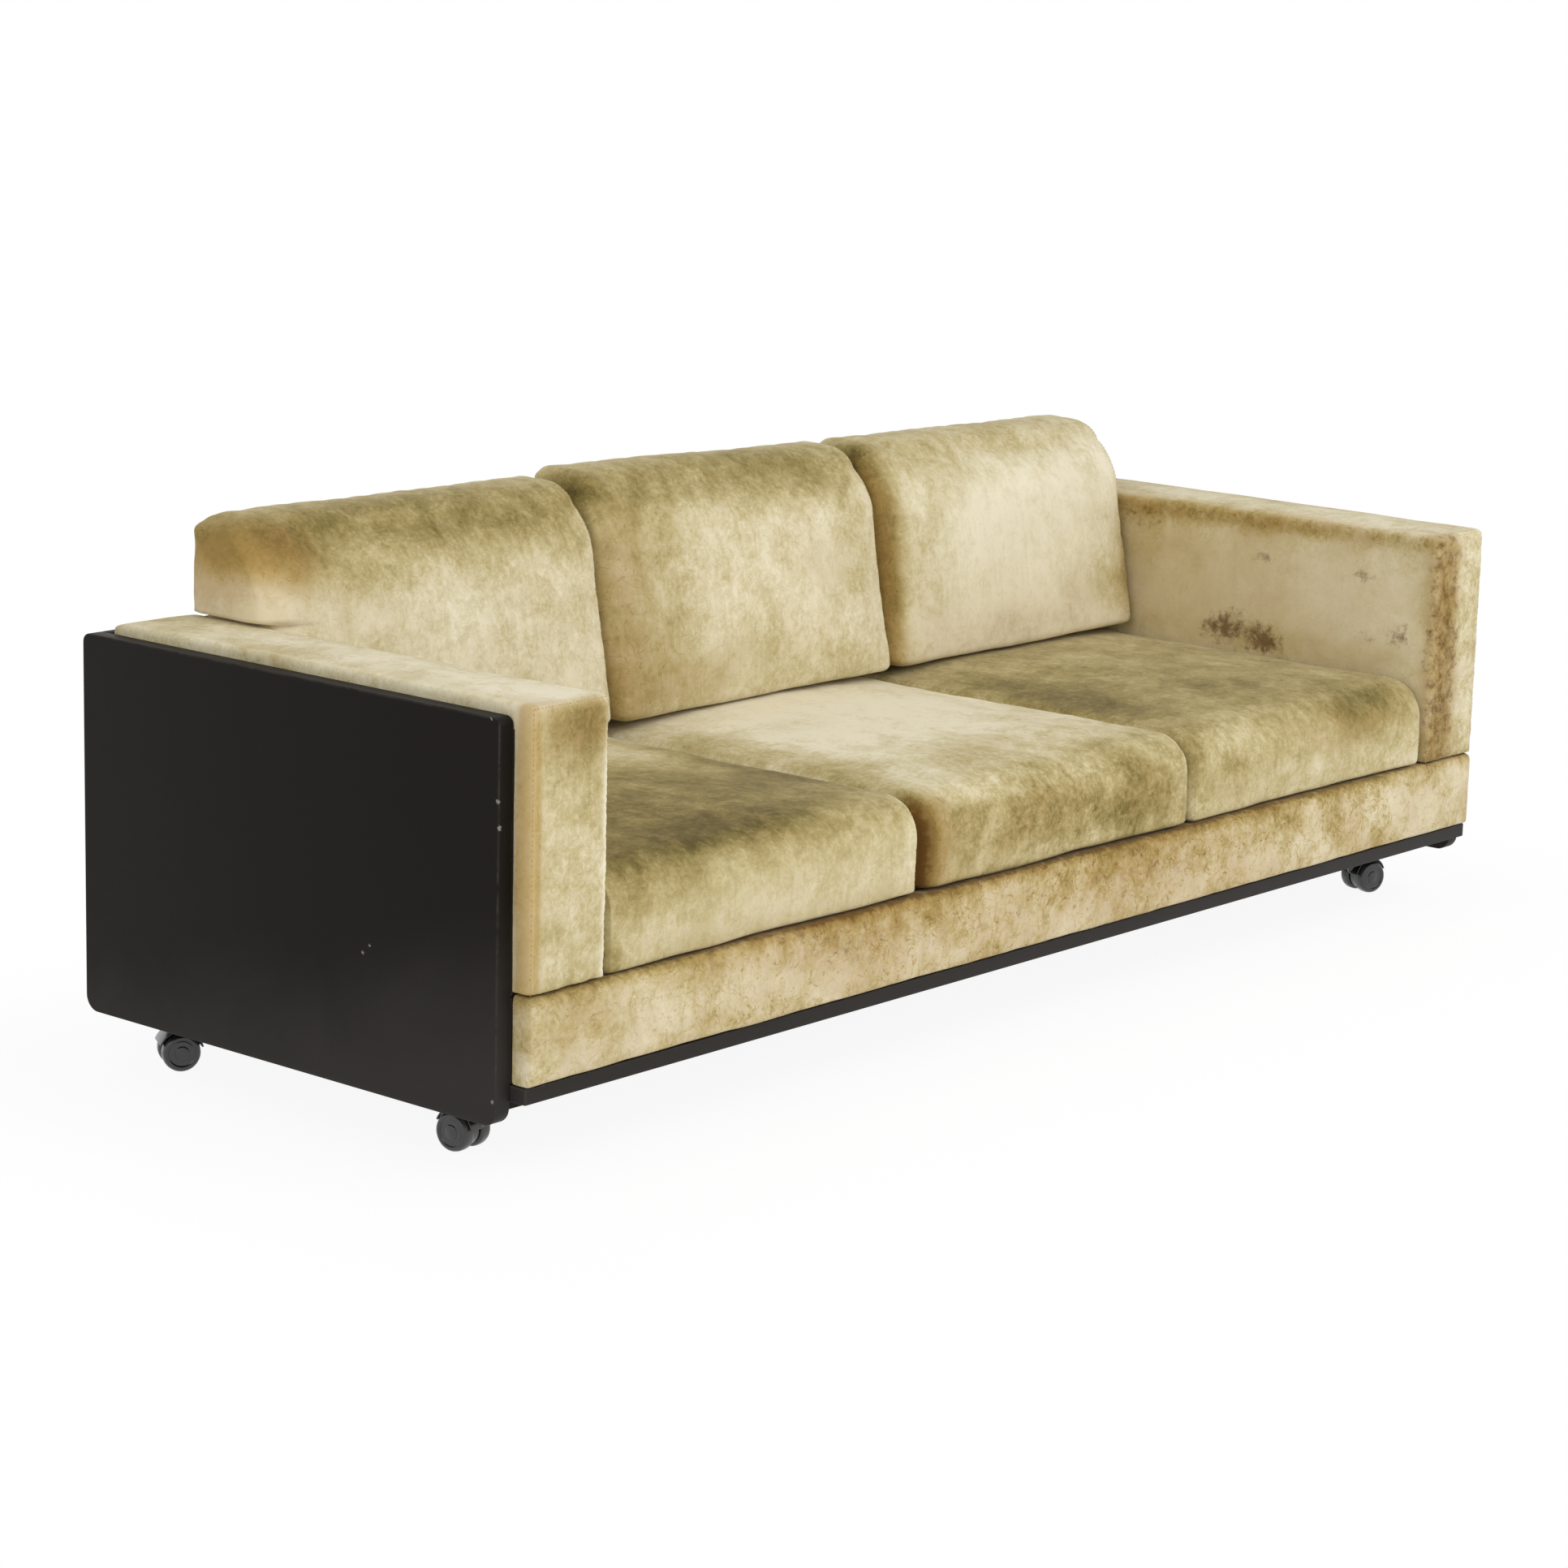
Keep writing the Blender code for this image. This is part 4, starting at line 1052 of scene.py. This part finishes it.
# painted shade in the crease at each cushion's foot: how much darker and how much brown
CREASE = {"left": (-6, 30), "middle": (-30, 110), "right": (-6, 30)}
for index, seat in enumerate(SEATS):
    low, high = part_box(f"seat_cushion_{seat}")
    cushion, place, ends = padded_block(
        f"seat_{seat}", (low.x + SEAT_SIDE_IN, low.y + SEAT_FRONT_IN, low.z),
        (high.x - SEAT_SIDE_IN, high.y, low.z + SEAT_THICK),
        rounding=(SEAT_ENDS[seat], (0.016, 0.030), (0.008, 0.016)),
        swell=((0.001, 0.001), (0.003, 0), (0, 0.009)),
        span=CUSHION_SPAN, pinch=CUSHION_PINCH, roll=SEAT_ROLL)
    seams = set(ring(place, ends, 0, 0)) | set(ring(place, ends, 0, ends[0]))
    stuff(cushion, seams | {n for key, n in place.items() if key[2] == 0}, puff=0.008)
    finer(cushion)
    room = low, high + Vector((0, 0, SEAT_ROOM_ABOVE))
    near = settle(cushion, sorted(seams), room, dents=0.0026, seed=17.0 + 5 * index)
    if seat == "middle":
        points = per_point(cushion)
        corner = np.clip((low.x + CORNER_WIDE - points[:, 0]) / CORNER_WIDE, 0, 1) ** 2
        forward = np.clip((CORNER_FROM - points[:, 1]) / CORNER_EASE, 0, 1)
        points[:, 1] += CORNER_BACK * corner * forward
        move_points(cushion, points)
    foot = 1000 * (low.x + high.x) / 2, 1000 * low.y, 1000 * low.z
    shade, crease_shade_brown = CREASE[seat]
    nap, stain = [*SEAT_NAP_AND_SHADING[seat], (*foot, 400, 50, 9, shade)], [*SEAT_RECESS_SHADE, (*foot, 400, 50, 6, crease_shade_brown)]
    brush(cushion, base=0.66, strokes=nap, near=near, rubbed=0.06,
          tan=SEAT_TAN[seat], calm=SEAT_CALM, stain=stain)
    stitched = [ends[0] - 1] if seat == "middle" else [1, ends[0] - 1]
    lines = [ring(place, ends, 0, level) for level in stitched]
    sew(f"seat_stitches_{seat}", cushion, lines, f"seat_cushion_{seat}")
    upholster(cushion, f"seat_cushion_{seat}", f"seat_cushion_{seat}")


# Back cushions: loose cushions that stand on the seats against the lining. The front leans back and
# bellies out low down, the top is nearly straight, and the ends are boxed as on the seats. The left
# one has slumped, so that its upper end hangs over the arm.
BACK_FRONT, BACK_TALL, BACK_LEAN = 0.1646, 0.338, math.tan(math.radians(10))
BACK_LEFT_IN, BACK_RIGHT_IN, BACK_SAG, BACK_ROLL = 0.003, 0.004, 0.5, 0.100
BACK_ROOM_AHEAD, BACK_ROOM_ABOVE = 0.004, 0.010
BACK_ENDS = {"left": 0.055, "middle": 0.032, "right": 0.038}
BACK_LIFT = {"left": (0.0065, 0.0015), "middle": (0.0090, 0.0080), "right": (-0.002, 0.005)}
OVERHANG, OVERHANG_REACH = 0.026, 0.16
OVERHANG_GAP, OVERHANG_TURN = 0.001, 0.004
ARM_TOP, ARM_INWARD = 0.61, 0.024
# Strokes hold the pile's own patches and painted light and shade: painted shade down the left ends of the
# middle and right cushions and low on the right cushion's right end by the arm, and painted light on the left
# cushion's end over the arm and high on the right ends, faces the lamps leave dim.
BACK_NAP_AND_SHADING = {
    "left": [
        (-600, 270, 715, 340, 70, 50, -40), (-945, 250, 705, 90, 130, 36, -48),
        (-500, 220, 670, 160, 50, 40, -10), (-955, 260, 610, 40, 140, 50, 70),
        (-790, 200, 655, 100, 60, 35, -24), (-650, 190, 605, 35, 60, 50, 8),
        (-620, 180, 560, 200, 100, 100, 6), (-420, 180, 550, 100, 100, 120, 11),
        (-840, 190, 620, 120, 70, 50, 16),
    ],
    "middle": [
        (-308, 200, 570, 22, 100, 240, -14), (130, 170, 510, 100, 80, 80, 7),
        (-300, 250, 732, 40, 80, 22, -30), (290, 200, 600, 30, 80, 140, 12),
        (-250, 190, 560, 80, 100, 160, -14), (-285, 180, 460, 50, 60, 60, -4),
        (0, 270, 715, 320, 70, 50, -32), (-200, 200, 660, 100, 80, 70, -6),
        (20, 180, 550, 180, 100, 120, 2), (-100, 170, 440, 200, 60, 40, -8),
        (100, 210, 680, 140, 60, 30, -8),
    ],
    "right": [
        (312, 200, 570, 27, 100, 240, -60), (600, 275, 718, 300, 70, 40, -15),
        (800, 200, 670, 120, 60, 60, 8), (330, 240, 715, 40, 80, 35, -22), (900, 200, 660, 50, 80, 80, 10),
        (870, 170, 455, 50, 60, 35, -16), (620, 180, 570, 200, 100, 140, 19),
        (640, 170, 420, 260, 60, 40, 33), (925, 180, 480, 26, 80, 80, -34), (420, 190, 560, 40, 60, 80, -10),
    ],
}
# the tan strokes at the left ends of the middle and right cushions brown the painted shade there
BACK_TAN = {
    "left": [
        (-930, 240, 690, 80, 130, 50, 80), (-960, 320, 660, 40, 80, 50, 50),
        (-800, 180, 600, 60, 60, 30, 20),
    ],
    "middle": [(-290, 200, 500, 60, 100, 200, 70), (-160, 170, 450, 160, 50, 50, 30)],
    "right": [
        (312, 200, 550, 28, 100, 220, 100), (600, 170, 430, 250, 50, 40, 35),
        (925, 180, 480, 30, 80, 80, 50),
    ],
}
# the first gilt stroke, with the pale stroke there, is painted light on the left cushion's end over the arm
BACK_GILT = [(-955, 260, 620, 50, 140, 120, 45), (620, 170, 420, 300, 60, 50, 22)]
BACK_CALM = [(620, 180, 560, 220, 100, 140, 60)]


def slump(cushion, end):
    """Pushes the cushion's left end out over the arm, from just above the arm's own top."""
    points = per_point(cushion)
    arm = bpy.data.objects["arm_left"].data
    under = BVHTree.FromPolygons([v.co for v in arm.vertices], [p.vertices for p in arm.polygons])
    falls = [under.ray_cast((end - ARM_INWARD, y, 1.0), (0, 0, -1))[0] for y in points[:, 1]]
    rest = np.array([hit.z if hit else ARM_TOP for hit in falls])
    above = np.clip((points[:, 2] - rest - OVERHANG_GAP) / OVERHANG_TURN, 0, 1)
    near_end = np.clip((end + OVERHANG_REACH - points[:, 0]) / OVERHANG_REACH, 0, 1)
    points[:, 0] -= OVERHANG * above * near_end
    move_points(cushion, points)


for index, seat in enumerate(SEATS):
    low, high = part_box(f"back_cushion_{seat}")
    lift, tilt = BACK_LIFT[seat]
    cushion, place, ends = padded_block(
        f"back_{seat}", (low.x + BACK_LEFT_IN, BACK_FRONT, low.z),
        (high.x - BACK_RIGHT_IN, high.y, low.z + BACK_TALL + lift),
        rounding=((BACK_ENDS[seat], 0.018), (0.024, 0.022), (0.014, 0.022)),
        swell=((0.002, 0.002), (0.013, 0), (0, 0.004)), span=CUSHION_SPAN,
        pinch=CUSHION_PINCH, sag=BACK_SAG, lean=(BACK_LEAN, 0.0), tilt=tilt, roll=BACK_ROLL)
    right_seam = set(ring(place, ends, 0, ends[0]))
    held = {n for key, n in place.items() if key[2] == 0 or key[1] == ends[1]}
    stuff(cushion, right_seam | held, puff=0.011)
    finer(cushion)
    room = low - Vector((0, BACK_ROOM_AHEAD, 0)), high + Vector((0, 0, BACK_ROOM_ABOVE))
    near = settle(cushion, sorted(right_seam), room, dents=0.0028, seed=41.0 + 7 * index)
    if seat == "left":
        slump(cushion, low.x)
    brush(cushion, base=0.73, strokes=BACK_NAP_AND_SHADING[seat], near=near, rubbed=0.16,
          tan=BACK_TAN[seat], gilt=BACK_GILT, calm=BACK_CALM)
    sew(f"back_stitches_{seat}", cushion, [ring(place, ends, 0, ends[0] - 1)], f"back_cushion_{seat}")
    upholster(cushion, f"back_cushion_{seat}", f"back_cushion_{seat}")


# Studio: the photograph's viewing point, a pale seamless floor that runs to a white surround, a large
# soft light ahead and above, a weaker one to the left and an even glow all round.
EYE, AIM, ROLL = Vector((-4.6327, -3.8303, 1.5927)), Vector((-0.104, 0.0345, 0.298)), math.radians(1.488)
FLOOR_REACH, CASE_HALF = 40, (1.1, 0.4015)
forward = (AIM - EYE).normalized()
across = forward.cross(Vector((0, 0, 1))).normalized()
upward = across.cross(forward)
across, upward = (math.cos(ROLL) * across + math.sin(ROLL) * upward,
                  math.cos(ROLL) * upward - math.sin(ROLL) * across)
lens = bpy.data.cameras.new("viewpoint")
lens.lens, lens.sensor_width, lens.sensor_fit = 96.59, 36.0, "HORIZONTAL"
lens.clip_start, lens.clip_end = 0.1, 200
camera = placed("viewpoint", lens)
camera.matrix_world = Matrix((across, upward, -forward)).transposed().to_4x4()
camera.location = EYE
bpy.context.scene.camera = camera


def seen_straight(tree):
    """1 for what the camera sees, also mirrored or through glass, 0 for light on its way to a surface."""
    path = tree.nodes.new("ShaderNodeLightPath")
    total = path.outputs["Is Camera Ray"]
    for ray in ("Is Glossy Ray", "Is Transmission Ray"):
        either = tree.nodes.new("ShaderNodeMath")
        either.operation = "MAXIMUM"
        tree.links.new(total, either.inputs[0])
        tree.links.new(path.outputs[ray], either.inputs[1])
        total = either.outputs[0]
    return total


def floor_paint():
    """White paper, shaded a little near the sofa and blank further out."""
    finish = Finish("studio_floor", {"Specular IOR Level": 0.0})
    paper = finish.cloud(3, 3)
    finish.shows(finish.mix(paper, tone("fafafa"), tone("fcfcfc")), 0.9, finish.bump(paper, 0.0001, 0.1))
    beyond = [finish.math("MAXIMUM", finish.math("ABSOLUTE", finish.along(axis)) - reach, 0.0)
              for axis, reach in enumerate(CASE_HALF)]
    spread = finish.math("SQRT", beyond[0] * beyond[0] + beyond[1] * beyond[1])
    white = 0.92 + 0.08 * finish.step(spread, 0.02, 0.55)
    blank = finish.tree.nodes.new("ShaderNodeEmission")
    blended = finish.tree.nodes.new("ShaderNodeMixShader")
    finish.plug(blended.inputs[0], white * Wire(finish, seen_straight(finish.tree)))
    finish.tree.links.new(finish.shader.outputs[0], blended.inputs[1])
    finish.tree.links.new(blank.outputs[0], blended.inputs[2])
    finish.tree.links.new(blended.outputs[0], finish.tree.nodes["Material Output"].inputs["Surface"])
    return finish.material


floor_mesh = bpy.data.meshes.new("studio_floor")
floor_corners = [(x * FLOOR_REACH, y * FLOOR_REACH, 0) for x, y in ((-1, -1), (1, -1), (1, 1), (-1, 1))]
floor_mesh.from_pydata(floor_corners, [], [(0, 1, 2, 3)])
floor_mesh.materials.append(floor_paint())
floor = placed("studio_floor", floor_mesh)

world = bpy.data.worlds.new("studio")
bpy.context.scene.world = world
world.use_nodes = True
glow = world.node_tree.nodes["Background"]
level = world.node_tree.nodes.new("ShaderNodeMapRange")
world.node_tree.links.new(seen_straight(world.node_tree), level.inputs["Value"])
level.inputs["To Min"].default_value, level.inputs["To Max"].default_value = 0.60, 1.0
world.node_tree.links.new(level.outputs[0], glow.inputs["Strength"])
glow.inputs["Color"].default_value = (1, 1, 1, 1)


def soft_light(name, place, aim, size, power):
    lamp = bpy.data.lights.new(name, "AREA")
    lamp.shape, lamp.size, lamp.energy = "SQUARE", size, power
    light = placed(name, lamp)
    light.location = place
    light.rotation_mode = "QUATERNION"
    light.rotation_quaternion = (Vector(aim) - Vector(place)).to_track_quat("-Z", "Y")


soft_light("key", (0.6, -4.2, 3.6), (0, 0, 0.4), 3.2, 125)
soft_light("fill", (-4.4, -1.2, 2.6), (0, 0, 0.4), 2.6, 40)
view = bpy.context.scene.view_settings
view.view_transform = "Standard"
